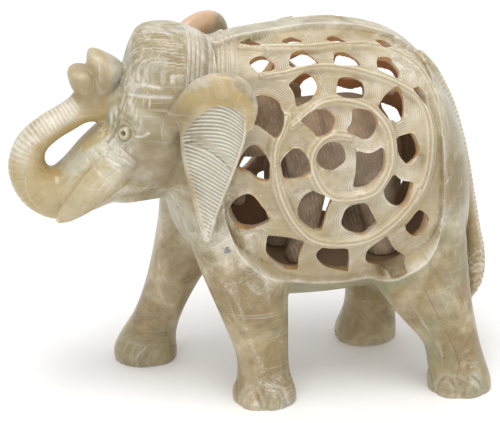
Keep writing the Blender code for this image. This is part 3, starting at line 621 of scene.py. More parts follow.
def carveEars(points, normals, marks):
    s = earSettings
    plate = np.array(s["plate"], float)[::-1]
    top, mid = np.array(s["faceTop"]), smoothRun(s["midRib"], 4)
    for side, shift in ((-1, (0, 0, 0)), (1, s["farShift"])):
        local = points - np.array(shift)
        x, z = local[:, 0], local[:, 2]
        front, frontOut, rear, rearOut = (np.interp(z, plate[:, 0], plate[:, k]) for k in (1, 2, 3, 4))
        share = (x - front) / np.maximum(rear - front, 0.5)
        off = side * local[:, 1] - (frontOut + share * (rearOut - frontOut))
        onEar = (np.abs(off) < 3.4) & (share > -0.15) & (share < 1.2) & (z > 50) & (side * local[:, 1] > 11)
        outward = np.clip(side * normals[:, 1] * 2.2, 0, 1)
        face = onEar * outward * ease(x - front, 0.3, 0.8) * (1 - ease(x - rear, -1.0, -0.55))
        face = face * ease(z, 51.4, 52.4)
        face = face * ease(np.interp(x, top[:, 0], top[:, 1], left=73, right=84) - z, 0.0, 0.6)
        aboveMid = z - np.interp(x, mid[:, 0], mid[:, 1])
        upperRun = z + 0.085 * np.maximum(x + 14, 0) ** 2 + 0.025 * np.minimum(x + 14, 0) ** 2
        lowerRun = z + 0.52 * (x + 16) + 0.045 * (x + 16) ** 2 * np.clip((z - 64) / 8, 0, 1)
        ribs = np.where(aboveMid > 0, 0.5 - 0.5 * np.cos(2 * math.pi * (upperRun / s["upperPitch"])),
                        0.5 - 0.5 * np.cos(2 * math.pi * lowerRun / s["lowerPitch"]))
        plain = 1 - np.exp(-((aboveMid - 1.9) / 1.1) ** 2) * (x > -20)     # no ribs just over the long rib
        dip = np.exp(-((aboveMid - 0.1) / 0.3) ** 2)
        marks["move"] += face * (s["ribDepth"] * (ribs ** 1.3 - 1) * plain - 0.35 * dip)
        marks["move"] -= face * 0.25
        # painted highlight: the crests of the ribs are painted pale
        atLeast(marks["pale"], face * plain * 0.6 * ribs ** 3)
        atLeast(marks["ribs"], face)
        smooth = onEar * (1 - face) * ease(np.abs(local[:, 1]), 12, 15)
        atLeast(marks["amber"], 0.85 * smooth * ease(z, 70, 86) * outward)
        atLeast(marks["amber"], 0.55 * smooth * outward)


# lines cut into the head: points on its left side, width, depth (mm) and how white the cut is
lineSettings = {
    "brow1": ([(-32.7, -5.6, 88.4), (-31.5, -7.5, 89.5), (-29.0, -10.2, 89.4), (-25.9, -12.1, 89.1)],
              0.42, 0.35, 1.0),
    "brow2": ([(-32.9, -6.8, 86.2), (-31.0, -9.5, 86.5), (-27.4, -12.0, 86.8), (-23.4, -13.3, 86.9)],
              0.42, 0.35, 1.0),
    "brow3": ([(-32.0, -5.3, 90.6), (-31.8, -6.6, 89.7), (-30.9, -8.4, 89.3)], 0.35, 0.2, 0.6),
    "lidFront": ([(-35.6, -6.8, 79.2), (-36.7, -6.9, 76.3), (-38.6, -6.6, 73.7)], 0.38, 0.55, -1.0),
    "lidTop": ([(-35.4, -7.3, 79.9), (-34.0, -9.3, 79.3), (-33.0, -10.8, 77.9), (-32.4, -11.2, 76.6)],
               0.32, 0.32, 0.25),
    "lidLow": ([(-37.1, -7.3, 74.9), (-36.2, -9.1, 74.4), (-34.4, -10.3, 74.7), (-32.8, -11.0, 75.9)],
               0.30, 0.30, 0.5),
    "crowsFoot": ([(-32.3, -11.2, 76.4), (-30.9, -12.1, 76.5), (-29.3, -12.6, 77.5)], 0.32, 0.22, 0.9),
    "wrinkle1": ([(-42.1, -5.3, 71.6), (-40.3, -9.0, 70.4), (-37.6, -12.9, 68.7), (-32.4, -11.0, 65.0)],
                 0.30, 0.34, 0.9),
    "wrinkle2": ([(-41.0, -7.3, 70.7), (-37.9, -12.2, 70.1), (-33.3, -12.0, 66.6), (-28.8, -11.1, 64.4)],
                 0.30, 0.34, 0.9),
    "wrinkle3": ([(-43.6, -6.0, 69.3), (-42.2, -10.6, 68.3), (-40.5, -13.0, 66.6), (-36.8, -12.3, 63.8)],
                 0.30, 0.36, 0.8),
    "wrinkle4": ([(-41.5, -5.2, 73.0), (-40.0, -7.6, 72.0), (-37.0, -11.8, 71.6), (-33.0, -13.0, 68.9),
                  (-28.5, -12.0, 66.0)], 0.28, 0.26, 0.95),
    "wrinkle5": ([(-40.7, -5.2, 74.2), (-39.2, -7.6, 73.2), (-36.1, -12.1, 72.4), (-33.0, -13.2, 70.6)],
                 0.28, 0.22, 0.95),
}

eyeSettings = {"centre": (-34.9, -9.3, 76.7), "ball": 1.8, "proud": 0.6, "pupil": 0.6, "pupilDepth": 0.8}

hairSettings = {"rear": -19.3, "base": 77.0, "pitch": 1.15, "depth": 0.2}

neckSettings = {"grooves": (-19.5, -18.3, -17.1, -15.9, -13.6, -12.5, -10.6, -9.5, -8.2, -7.1),
                "depth": 0.3}


def carveHead(points, normals, marks):
    mirrored = onLeft(points)
    onHead = (points[:, 0] < -5) & (np.abs(points[:, 1]) < 15.5)
    for line, width, depth, white in lineSettings.values():
        near, gap, _, _ = gapTo(mirrored, smoothRun(line, 4), 3 * width)
        cut = np.exp(-(gap / width) ** 2) * onHead[near]
        marks["move"][near] -= depth * cut
        if white > 0:
            atLeast(marks["pale"], white * cut, near)
        else:
            atLeast(marks["brown"], cut, near)
    e = eyeSettings
    centre = np.array(e["centre"])
    away = np.linalg.norm(mirrored - centre, axis=1)
    ball = np.clip(1 - (away / e["ball"]) ** 2, 0, 1)
    marks["move"] += e["proud"] * ball ** 0.7
    ring = np.exp(-((away - e["ball"] - 0.15) / 0.26) ** 2) * onHead
    marks["move"] -= 0.36 * ring
    atLeast(marks["umber"], 0.8 * ring)
    marks["move"] -= e["pupilDepth"] * np.exp(-(away / e["pupil"]) ** 4)
    marks["move"] += 0.18 * np.exp(-((away - 1.05) / 0.28) ** 2)
    atLeast(marks["brown"], np.exp(-(away / e["pupil"]) ** 4))
    for k in range(8):       # lashes cut under the eye
        start = np.array([-36.9 + 0.66 * k, -8.6 - 0.48 * k, 73.6 + 0.03 * (k - 3) ** 2])
        near, gap, _, _ = gapTo(mirrored, [start, start + np.array([-0.25, -0.3, -1.5])], 0.7)
        cut = np.exp(-(gap / 0.2) ** 2)
        marks["move"][near] -= 0.16 * cut
        atLeast(marks["pale"], 0.8 * cut, near)
    h = hairSettings
    ahead = np.maximum(h["rear"] - points[:, 0], 0)
    over = points[:, 2] - np.abs(points[:, 1])
    lift = over - h["base"] - 0.42 * ahead
    field = (np.maximum(lift, 0) ** 4 + (0.6 * ahead) ** 4) ** 0.25
    field = field + 0.22 * np.sin(points[:, 0] * 0.8 + points[:, 1] * 0.5)
    field = field + 0.12 * np.sin(points[:, 0] * 2.1 - points[:, 1] * 1.3)
    area = (points[:, 0] < h["rear"]) * ease(points[:, 0], -33.5, -31) * ease(over, 76.5, 78.5)
    area = area * ease(points[:, 2], 88, 90)
    area = area * ease(field, 1.2, 2.0) * onHead * ease(normals[:, 2] + np.abs(normals[:, 1]), 0.2, 0.5)
    wave = 0.5 + 0.5 * np.cos(2 * math.pi * field / h["pitch"])
    strength = 0.55 + 0.45 * np.sin(field * 1.7 + points[:, 0] * 0.35)
    marks["move"] -= h["depth"] * wave ** 2 * area * strength
    atLeast(marks["pale"], 0.85 * area * wave ** 3 * strength)
    n = neckSettings
    lean = points[:, 0] - 0.117 * (over - 78)
    band = ease(points[:, 2], 84, 87) * (points[:, 0] > -20.5) * (points[:, 0] < -3.5)
    band = band * (np.abs(points[:, 1]) < 14.8) * (1 - ease(np.abs(points[:, 1]), 13.2, 14.6))
    for groove in n["grooves"]:
        cut = np.exp(-((lean - groove) / 0.27) ** 2) * band
        marks["move"] -= n["depth"] * cut
        atLeast(marks["pale"], 0.55 * cut)
        atLeast(marks["pale"], 0.4 * np.exp(-((lean - groove - 0.5) / 0.22) ** 2) * band)


trunkSettings = {"ringPitch": 1.05, "ringDepth": 0.13}


def carveTrunk(points, normals, marks):
    run = smoothRun(headSettings["trunk"], 10)
    near, _, _, along = gapTo(points, run[:, :3], 11.0)
    length = np.sum(np.linalg.norm(np.diff(run[:, :3], axis=0), axis=1))
    inward = np.array([-47.5, 0.0, 70.5]) - points[near]
    inward /= np.linalg.norm(inward, axis=1)[:, None]
    outer = ease(-np.sum(inward * normals[near], axis=1), 0.25, 0.6)
    area = outer * ease(along, 15, 19) * (1 - ease(along, length - 7, length - 5)) * (points[near, 0] < -39)
    wave = np.abs(np.cos(math.pi * along / trunkSettings["ringPitch"]))
    marks["move"][near] -= trunkSettings["ringDepth"] * (1 - wave ** 0.5) * area * 1.3
    # painted highlight: the trunk's upper side, most of all its ring crests, is painted paler for the light
    # from above, and has less amber there
    litTop = ease(points[near, 2], 66, 74)
    atLeast(marks["pale"], area * litTop * (0.2 + 0.4 * wave ** 2), near)
    body = (points[near, 0] < -38) * ease(along, 13, 20)
    atLeast(marks["amber"], 0.85 * body * (1 - 0.6 * area * litTop), near)
    for side in (-1, 1):
        tusk = [(x, side * y, z) for x, y, z, _ in headSettings["tusk"]]
        near, _, _, along = gapTo(points, tusk, 5.6)
        atLeast(marks["amber"], 0.6 * ease(along, 3, 6), near)
    lobes = (points[:, 2] > 84) & (points[:, 0] < -37.5)
    atLeast(marks["amber"], 0.8 * lobes)


# darker patches of the stone and those worn to chalk: middle on the left (mm), radius, share
patchSettings = {
    "umber": [((-22.5, -14.5, 80.0), 11.0, 0.95), ((-29.0, -13.0, 70.0), 10.5, 0.95),
              ((-20.0, -13.0, 63.0), 9.0, 0.4), ((-42.0, -3.0, 87.0), 8.0, 0.8),
              ((50.0, -18.0, 64.0), 15.0, 0.6), ((22.0, -20.0, 27.0), 12.0, 0.4)],
    "chalk": [((-9.0, -18.0, 52.0), 14.0, 0.7), ((-4.0, -20.0, 38.0), 10.0, 0.4),
              ((44.0, -8.0, 90.0), 15.0, 0.8), ((-24.0, 0.0, 98.0), 13.0, 0.55),
              ((0.5, -20.0, 4.0), 9.0, 0.5), ((52.0, -26.0, 5.0), 8.0, 0.4),
              ((56.0, -6.0, 30.0), 12.0, 0.6), ((-38.0, -8.0, 70.0), 7.0, 0.5)],
}


def markPatches(points, normals, marks):
    mirrored = onLeft(points)
    for name, core in (("umber", 0.45), ("chalk", 0.4)):
        for centre, radius, share in patchSettings[name]:
            away = np.linalg.norm(mirrored - np.array(centre), axis=1) / radius
            atLeast(marks[name], share * (1 - ease(away, core, 1.0)))
    face = (points[:, 0] < -27) * ease(-normals[:, 0], 0.1, 0.5) * ease(points[:, 2], 62, 70)
    face = face * ease(np.linalg.norm(mirrored - np.array(eyeSettings["centre"]), axis=1), 2.5, 5.0)
    face = face * (1 - ease(points[:, 2], 92, 96))
    marks["streak"] = face * (points[:, 0] > -40) * (np.abs(points[:, 1]) < 12)


def carveTail(points, normals, marks):
    run = smoothRun(tailSettings["run"], 6)
    near, _, _, along = gapTo(points, run[:, :3], 3.6)
    rear = ease(normals[near, 0], 0.25, 0.65) * ease(along, 6, 9)
    tooth = (along / tailSettings["toothPitch"]) % 1.0
    marks["move"][near] -= tailSettings["toothDepth"] * tooth * rear
    atLeast(marks["pale"], 0.8 * rear * (0.3 + 0.7 * (1 - tooth)), near)
    tuft = ease(along, 55, 57)
    flutes = 0.5 + 0.5 * np.cos(2 * math.pi * (along - 1.6 * points[near, 1]) / 2.1)
    marks["move"][near] -= 0.3 * tuft * flutes
    atLeast(marks["amber"], 0.45, near)


def carveFeet(points, normals, marks):
    s = legSettings
    for key, side in (("frontNear", -1), ("frontFar", 1), ("hindNear", -1), ("hindFar", 1)):
        _, along, across, halfLength, halfWidth = s[key][1]
        near = np.where((points[:, 2] < 11) & (np.abs(points[:, 0] - along) < 12)
                        & (np.abs(points[:, 1] - across) < 11))[0]
        turn = np.degrees(np.arctan2(points[near, 0] - along, side * (points[near, 1] - across)))
        for nail in s["nailsAt"][key]:
            nailTurn = np.radians(turn - nail) * 8.0 / s["nailHalfWidth"]
            up = (points[near, 2] - 1.2) / s["nailHeight"]
            ring = np.sqrt(nailTurn ** 2 + np.maximum(up, -0.2) ** 2)
            cut = np.exp(-((ring - 1) * s["nailHalfWidth"] / 0.42) ** 2) * ease(points[near, 2], 0.6, 1.6)
            marks["move"][near] -= 0.5 * cut
            marks["move"][near] += 0.35 * np.clip(1 - ring, 0, 1) ** 0.5 * (ring < 1)
            edge = 0.3 * np.exp(-((ring - 1.1) * s["nailHalfWidth"] / 0.3) ** 2)
            atLeast(marks["pale"], edge, near)


# short engraved strokes: line they follow, pitch, length, leans in degrees
strokeSettings = {
    "foreleg": ([(-10.2, -19.8, 35.5), (-7.6, -20.1, 29.7), (-4.4, -19.7, 19.3), (-1.8, -19.9, 10.4)],
                0.75, 2.3, (35, -35, 20, -55)),
    "shin": ([(-11.6, -19.0, 39.0), (-10.2, -19.8, 35.5), (-8.9, -20.0, 32.0)], 1.1, 3.0, (62, 80, 45)),
    "throat": ([(-20.4, -12.5, 63.0), (-19.0, -14.0, 58.0), (-17.6, -15.5, 51.0)],
               1.2, 1.6, (-30, -20, -40)),
    "haunch": ([(44.5, -24.6, 34.0), (47.5, -25.0, 24.0), (50.5, -25.5, 14.0)], 2.3, 2.2, (55, 70, 20)),
}

crackSettings = [
    [(40.3, -24.6, 32.0), (42.6, -24.9, 27.0), (44.5, -24.9, 23.2), (48.8, -25.0, 14.1),
     (50.1, -25.7, 8.5)],
    [(47.4, -25.0, 16.8), (48.9, -25.2, 17.4), (50.0, -25.2, 17.2)],
    [(49.6, -25.4, 11.0), (51.6, -25.6, 10.8), (52.6, -25.7, 7.4)],
]


def carveStrokes(points, normals, marks):
    for line, pitch, length, leans in strokeSettings.values():
        run = smoothRun(line, 8)
        steps = np.concatenate([[0], np.cumsum(np.linalg.norm(np.diff(run, axis=0), axis=1))])
        for k, at in enumerate(np.arange(0.3, steps[-1], pitch)):
            middle = np.array([np.interp(at, steps, run[:, i]) for i in range(3)])
            lean = math.radians(leans[k % len(leans)])
            half = np.array([math.cos(lean), 0.0, math.sin(lean)]) * length / 2
            near, gap, _, _ = gapTo(points, [middle - half, middle + half], 1.0)
            cut = np.exp(-(gap / 0.16) ** 2)
            marks["move"][near] -= 0.08 * cut
            atLeast(marks["pale"], 0.4 * cut, near)
    for line in crackSettings:
        near, gap, _, _ = gapTo(points, smoothRun(line, 4), 1.0)
        cut = np.exp(-(gap / 0.17) ** 2)
        marks["move"][near] -= 0.12 * cut
        atLeast(marks["brown"], 0.75 * cut, near)


markNames = ("pale", "brown", "amber", "umber", "streak", "chalk", "belly", "ribs", "stem", "panel",
             "groove", "hatch", "hatchRun", "hollow", "wall")


def readCarving(points, normals):
    marks = {key: np.zeros(len(points)) for key in markNames + ("move",)}
    marks["way"] = carvePanel(points, normals, marks)
    for carve in (carveEars, carveHead, carveTrunk, markPatches, carveTail, carveFeet, carveStrokes):
        carve(points, normals, marks)
    return marks


def keepMarks(piece, marks, names):
    for name in names:
        layer = piece.data.attributes.new(name, "FLOAT", "POINT")
        layer.data.foreach_set("value", np.ascontiguousarray(marks[name], dtype=np.float32))


def hollowness(piece, points, normals):
    # above zero in grooves, below zero on ridges
    ends = np.empty(len(piece.data.edges) * 2, dtype=np.int64)
    piece.data.edges.foreach_get("vertices", ends)
    a, b = ends.reshape(-1, 2).T
    way = points[b] - points[a]
    size = np.maximum(np.linalg.norm(way, axis=1), 1e-6)
    total, count = np.zeros(len(points)), np.zeros(len(points))
    for start, sign in ((a, 1), (b, -1)):
        np.add.at(total, start, sign * np.sum(way * normals[start], axis=1) / size)
        np.add.at(count, start, 1)
    value = total / np.maximum(count, 1)
    for _ in range(2):
        spread = np.zeros(len(points))
        np.add.at(spread, a, value[b])
        np.add.at(spread, b, value[a])
        value = 0.5 * value + 0.5 * spread / np.maximum(count, 1)
    return np.clip(value * 3, -1, 1)


def refineLines(body):
    # finer faces where thin lines are cut: ears, brow and hair, trunk, eye
    points, normals = pointsOf(body)
    marks = readCarving(points, normals)
    fine = (marks["ribs"] > 0.05) | (marks["pale"] > 0.12) | (marks["brown"] > 0.05) | (marks["sink"] > 1.05)
    bpy.ops.object.mode_set(mode="EDIT")
    bpy.ops.mesh.select_mode(type="FACE")
    bpy.ops.mesh.select_all(action="DESELECT")
    bpy.ops.object.mode_set(mode="OBJECT")
    corners = np.array([p.vertices[0] for p in body.data.polygons])
    body.data.polygons.foreach_set("select", fine[corners])
    bpy.ops.object.mode_set(mode="EDIT")
    bpy.ops.mesh.subdivide(number_cuts=1)
    bpy.ops.object.mode_set(mode="OBJECT")


meshSettings = {"blendGrid": 0.9, "blendSmooth": 8, "fineGrid": 0.42, "fineSmooth": 1, "triangles": 194000}


def makeElephant():
    s, m = torsoSettings, meshSettings
    parts = [extrudeThrough("torso", [torsoRing(*row, s["sides"]) for row in smoothRun(s["stations"], 5)]),
             extrudeThrough("head", headRings(headSettings["stations"])),
             extrudeThrough("trunk", tubeRings(headSettings["trunk"], roundEnd=False)),
             extrudeThrough("bridge", tubeRings(headSettings["tipBridge"])),
             extrudeThrough("jaw", tubeRings(headSettings["jaw"], flatten=1.2))]
    for key in ("frontNear", "frontFar", "hindNear", "hindFar"):
        parts.append(extrudeThrough(key, legRings(legSettings[key])))
    body = blended(joined("elephant_carving", parts), m["blendGrid"], m["blendSmooth"])
    print("masses blended:", len(body.data.vertices))
    cutAway(body, extrudeThrough("hollow", hollowRings()))
    plugs = [extrudeThrough("plug", plugRings(closedRun(outline, 4), side))
             for side in (-1, 1) for outline, _ in flankOpenings(side)]
    cutAway(body, joined("plugs", plugs))
    print("hollow and openings cut:", len(body.data.vertices))
    parts = [body, extrudeThrough("tail", tubeRings(tailSettings["run"], flatten=1.15)),
             extrudeThrough("rearLobe", headRings(headSettings["rearLobe"])),
             extrudeThrough("foreLobe", headRings(headSettings["foreLobe"]))]
    for side, shift in ((-1, (0, 0, 0)), (1, earSettings["farShift"])):
        parts.append(extrudeThrough("ear", earRings(earSettings["plate"], side, earSettings["thick"], shift)))
        fold = [(x + shift[0], side * y + shift[1], z + shift[2], r) for x, y, z, r in earSettings["fold"]]
        parts.append(extrudeThrough("fold", tubeRings(fold, flatten=earSettings["foldFlatten"])))
        tusk = [(x, side * y, z, r) for x, y, z, r in headSettings["tusk"]]
        parts.append(extrudeThrough("tusk", tubeRings(tusk)))
    body = blended(joined("elephant_carving", parts), m["fineGrid"], m["fineSmooth"])
    print("ears, tusks and tail joined:", len(body.data.vertices))
    refineLines(body)
    points, normals = pointsOf(body)
    marks = readCarving(points, normals)
    placePoints(body, points + normals * marks["move"][:, None] - marks["way"] * marks["sink"][:, None])
    print("carving cut:", len(body.data.vertices))
    flatSoles(body, legSettings["soleCut"])
    thinned(body, m["triangles"])
    points, normals = pointsOf(body)
    marks = readCarving(points, normals)
    # bend drives painted shade in the grooves and a painted highlight on the ridges
    marks["bend"] = hollowness(body, points, normals)
    keepMarks(body, marks, markNames + ("bend",))
    placePoints(body, points + shiftToFrame)
    print("elephant carving:", len(body.data.polygons), "triangles")
    return body


# the small elephant in the hollow, in shares of its height
calfSettings = {
    "height": 47.5,
    "gap": 0.3,
    "grid": 0.5,
    "smooth": 3,
    "triangles": 60000,
    "soleCut": 0.3,
    "sides": 36,
    "earThick": 0.045,
    "legsLean": 0.35,
    "legsMeetAt": 0.05,
    "legsCloseIn": 0.3,
    "torso": [(-0.21, 0.68, 0.10, 0.09), (-0.15, 0.66, 0.20, 0.16), (-0.05, 0.62, 0.26, 0.205),
              (0.10, 0.60, 0.28, 0.225), (0.24, 0.60, 0.275, 0.225), (0.36, 0.58, 0.235, 0.20),
              (0.43, 0.55, 0.16, 0.14), (0.455, 0.53, 0.08, 0.07)],
    "head": [(1.0, -0.36, -0.27, 0.06), (0.96, -0.42, -0.18, 0.12), (0.87, -0.455, -0.13, 0.15),
             (0.77, -0.485, -0.12, 0.155), (0.68, -0.49, -0.15, 0.135), (0.61, -0.46, -0.22, 0.10)],
    "trunk": [(-0.40, 0, 0.75, 0.11), (-0.455, 0, 0.64, 0.085), (-0.485, 0, 0.54, 0.066),
              (-0.49, 0, 0.45, 0.055), (-0.465, 0, 0.37, 0.048), (-0.42, 0, 0.335, 0.04)],
    "legs": [(-0.10, -0.125), (-0.16, 0.125), (0.36, -0.125), (0.29, 0.125)],
    "leg": [(0, 0.086), (0.04, 0.09), (0.10, 0.078), (0.20, 0.085), (0.34, 0.11), (0.48, 0.12),
            (0.58, 0.08)],
    "ear": [(0.91, -0.20, 0.15, -0.06, 0.20), (0.85, -0.23, 0.15, -0.01, 0.24),
            (0.74, -0.23, 0.145, -0.02, 0.245), (0.62, -0.20, 0.14, -0.08, 0.215),
            (0.52, -0.18, 0.14, -0.14, 0.18)],
    "tail": [(0.43, 0, 0.70, 0.03), (0.47, 0, 0.56, 0.03), (0.475, 0, 0.42, 0.03), (0.46, 0, 0.30, 0.035)],
}


def makeCalf():
    s = calfSettings
    tall, along = s["height"], torsoSettings["calfAlong"]

    def grown(rings):
        return [np.array(ring) * tall + np.array([along, 0, 0]) for ring in rings]

    parts = [extrudeThrough("calf", grown([torsoRing(*row, s["sides"]) for row in smoothRun(s["torso"], 5)])),
             extrudeThrough("calfHead", grown(headRings(s["head"]))),
             extrudeThrough("calfTrunk", grown(tubeRings(s["trunk"]))),
             extrudeThrough("calfTail", grown(tubeRings(s["tail"])))]
    for x, y in s["legs"]:
        lean = s["legsLean"] * (s["legsMeetAt"] - x)
        leg = [(z, x + lean * z, y * (1 - s["legsCloseIn"] * z), r, r) for z, r in s["leg"]]
        parts.append(extrudeThrough("calfLeg", grown(legRings(leg))))
    for side in (-1, 1):
        parts.append(extrudeThrough("calfEar", grown(earRings(s["ear"], side, s["earThick"]))))
    calf = blended(joined("inner_carving", parts), s["grid"], s["smooth"])
    flatSoles(calf, s["soleCut"])
    thinned(calf, s["triangles"])
    points, normals = pointsOf(calf)
    middle, halfHeight, _ = torsoSection(along)
    points[:, 2] += middle - halfHeight + torsoSettings["floor"] + s["gap"] - points[:, 2].min()
    placePoints(calf, points + shiftToFrame)
    print("inner carving:", len(calf.data.polygons), "triangles")
    return calf


def newGroup(name, inputs, outputs):
    group = bpy.data.node_groups.new(name, "ShaderNodeTree")
    for kind, label, value in inputs:
        socket = group.interface.new_socket(label, in_out="INPUT", socket_type=kind)
        if value is not None:
            socket.default_value = value
    for kind, label in outputs:
        group.interface.new_socket(label, in_out="OUTPUT", socket_type=kind)
    return group, group.nodes.new("NodeGroupInput"), group.nodes.new("NodeGroupOutput")


class Wiring:
    # short hand for nodes and links in one tree
    def __init__(self, tree):
        self.tree = tree

    def node(self, kind, **settings):
        made = self.tree.nodes.new(kind)
        for key, value in settings.items():
            setattr(made, key, value)
        return made

    def join(self, source, target):
        self.tree.links.new(source, target)

    def put(self, target, value):
        if isinstance(value, bpy.types.NodeSocket):
            self.join(value, target)
        else:
            target.default_value = value

    def math(self, operation, a, b=None, clamp=False):
        made = self.node("ShaderNodeMath", operation=operation, use_clamp=clamp)
        self.put(made.inputs[0], a)
        if b is not None:
            self.put(made.inputs[1], b)
        return made.outputs[0]

    def times(self, a, b):
        return self.math("MULTIPLY", a, b)

    def mix(self, share, a, b, blend="MIX"):
        made = self.node("ShaderNodeMix", data_type="RGBA", blend_type=blend)
        self.put(made.inputs["Factor"], share)
        self.put(made.inputs["A"], a)
        self.put(made.inputs["B"], b)
        return made.outputs["Result"]

    def range(self, value, low, high, toLow=0.0, toHigh=1.0):
        made = self.node("ShaderNodeMapRange")
        self.put(made.inputs["Value"], value)
        for label, amount in (("From Min", low), ("From Max", high), ("To Min", toLow), ("To Max", toHigh)):
            made.inputs[label].default_value = amount
        return made.outputs["Result"]

    def noise(self, vector, scale, detail=3.0, rough=0.5, distortion=0.0):
        made = self.node("ShaderNodeTexNoise")
        self.join(vector, made.inputs["Vector"])
        made.inputs["Scale"].default_value = scale
        made.inputs["Detail"].default_value = detail
        made.inputs["Roughness"].default_value = rough
        made.inputs["Distortion"].default_value = distortion
        return made.outputs["Fac"]

    def attribute(self, name):
        return self.node("ShaderNodeAttribute", attribute_name=name).outputs["Fac"]

    def place(self, group, **values):
        made = self.node("ShaderNodeGroup")
        made.node_tree = group
        for key, value in values.items():
            self.put(made.inputs[key], value)
        return made


# sizes of the patterns (repeats per metre), and the specks
cloudSettings = {
    "cloud": 62.0, "green": 38.0, "chalk": 120.0, "mottle": 190.0, "fine": 620.0, "speck": 120.0,
    "chalkColor": (0.80, 0.78, 0.73, 1), "speckColor": (0.10, 0.11, 0.14, 1), "speckSize": 0.105,
    "speckRare": 0.74,
}


def makeStoneGroup():
    # cloudy soapstone: two tones in soft patches, a green cast, fine mottling and dark specks
    group, source, target = newGroup("cloudyStone", [
        ("NodeSocketVector", "Place", None), ("NodeSocketColor", "Light", None),
        ("NodeSocketColor", "Dark", None), ("NodeSocketColor", "Green", None),
        ("NodeSocketFloat", "Patches", 0.5), ("NodeSocketFloat", "GreenShare", 0.5),
        ("NodeSocketFloat", "Chalk", 0.4), ("NodeSocketFloat", "Specks", 1.0)],
        [("NodeSocketColor", "Color"), ("NodeSocketFloat", "Cloud"), ("NodeSocketFloat", "Mottle"),
         ("NodeSocketFloat", "Fine")])
    s, w = cloudSettings, Wiring(group)
    place = source.outputs["Place"]
    cloud = w.noise(place, s["cloud"], 5.0, 0.62, 0.6)
    patch = w.range(w.math("ADD", cloud, w.math("SUBTRACT", source.outputs["Patches"], 0.5)), 0.43, 0.60)
    base = w.mix(patch, source.outputs["Light"], source.outputs["Dark"])
    greenCloud = w.range(w.noise(place, s["green"], 2.0, 0.5, 0.8), 0.52, 0.72)
    base = w.mix(w.times(greenCloud, source.outputs["GreenShare"]), base, source.outputs["Green"])
    chalk = w.range(w.noise(place, s["chalk"], 6.0, 0.75, 1.2), 0.56, 0.70)
    base = w.mix(w.times(chalk, source.outputs["Chalk"]), base, s["chalkColor"])
    fine = w.noise(place, s["fine"], 4.0, 0.65)
    mottle = w.noise(place, s["mottle"], 4.0, 0.6, 0.3)
    shade = w.math("ADD", w.range(mottle, 0.3, 0.7, 0.84, 1.14), w.range(fine, 0.3, 0.7, -0.09, 0.09))
    grey = w.node("ShaderNodeCombineColor")
    for k in range(3):
        w.join(shade, grey.inputs[k])
    base = w.mix(1.0, base, grey.outputs[0], "MULTIPLY")
    cells = w.node("ShaderNodeTexVoronoi", feature="F1")
    w.join(place, cells.inputs["Vector"])
    cells.inputs["Scale"].default_value = s["speck"]
    rare = w.node("ShaderNodeSeparateColor")
    w.join(cells.outputs["Color"], rare.inputs[0])
    edge = w.math("ADD", cells.outputs["Distance"], w.range(fine, 0.3, 0.7, -0.08, 0.08))
    few = w.math("GREATER_THAN", rare.outputs[0], s["speckRare"])
    dot = w.times(w.math("LESS_THAN", edge, s["speckSize"]), few)
    dot = w.times(dot, source.outputs["Specks"])
    base = w.mix(w.times(dot, 0.8), base, s["speckColor"])
    w.join(base, target.inputs["Color"])
    w.join(cloud, target.inputs["Cloud"])
    w.join(mottle, target.inputs["Mottle"])
    w.join(fine, target.inputs["Fine"])
    return group


def makeScratchGroup():
    # hair-thin tool and polishing scratches, as a height and a pale mask
    group, source, target = newGroup("toolScratches", [
        ("NodeSocketVector", "Place", None), ("NodeSocketFloat", "Amount", 0.5)],
        [("NodeSocketFloat", "Height"), ("NodeSocketFloat", "Mask")])
    w = Wiring(group)
    total = None
    for rotation, stretch in (((0.5, 0.4, 0.5), (45, 45, 1900)), ((-0.9, 3.4, -0.9), (60, 1700, 60))):
        turn = w.node("ShaderNodeMapping")
        w.join(source.outputs["Place"], turn.inputs["Vector"])
        turn.inputs["Rotation"].default_value = rotation
        turn.inputs["Scale"].default_value = stretch
        line = w.range(w.noise(turn.outputs[0], 1.0, 2.0, 0.5), 0.60, 0.70)
        total = line if total is None else w.math("MAXIMUM", total, line)
    field = w.range(w.noise(source.outputs["Place"], 70.0, 2.0), 0.45, 0.65)
    total = w.times(w.times(total, field), source.outputs["Amount"])
    w.join(total, target.inputs["Mask"])
    w.join(w.times(total, -1.0), target.inputs["Height"])
    return group


stoneSettings = {
    "light": (0.52, 0.475, 0.37, 1), "dark": (0.29, 0.225, 0.11, 1), "green": (0.29, 0.31, 0.215, 1),
    "legLight": (0.44, 0.36, 0.22, 1), "legs": (0.26, 0.19, 0.085, 1), "legGreen": (0.30, 0.32, 0.20, 1),
    "amber": (0.40, 0.285, 0.10, 1), "pink": (0.60, 0.36, 0.22, 1), "pale": (0.84, 0.83, 0.79, 1),
    # the wall colour is painted glow: amber for light shining through the thin walls of the openings
    "panel": (0.44, 0.345, 0.19, 1), "stem": (0.62, 0.545, 0.38, 1), "wall": (0.66, 0.36, 0.11, 1),
    # the ceiling colour is painted glow through the thin roof of the hollow; the inside colour is the scraped
    # stone's brown, partly painted shade
    "ceilingGlow": (0.86, 0.48, 0.22, 1), "inside": (0.30, 0.20, 0.11, 1), "brown": (0.15, 0.085, 0.04, 1),
    # the first colour on the next line is painted shade for grooves, creases and hollows
    "paintedShade": (0.20, 0.135, 0.06, 1), "belly": (0.25, 0.255, 0.15, 1), "umber": (0.22, 0.165, 0.075, 1),
    "ribs": (0.37, 0.345, 0.265, 1),
    "legsBelow": (0.052, 0.034),                    # heights (m) between which the legs' tone takes over
    "farEar": {"Z": (0.0895, 0.0935), "Y": (0.012, 0.015), "X": (-0.003, -0.0045)},
    "bump": 0.5, "bumpDepth": 0.00012, "glow": 0.22, "glowColors": (1.0, 0.62, 0.3), "glowDepth": 0.0022,
}


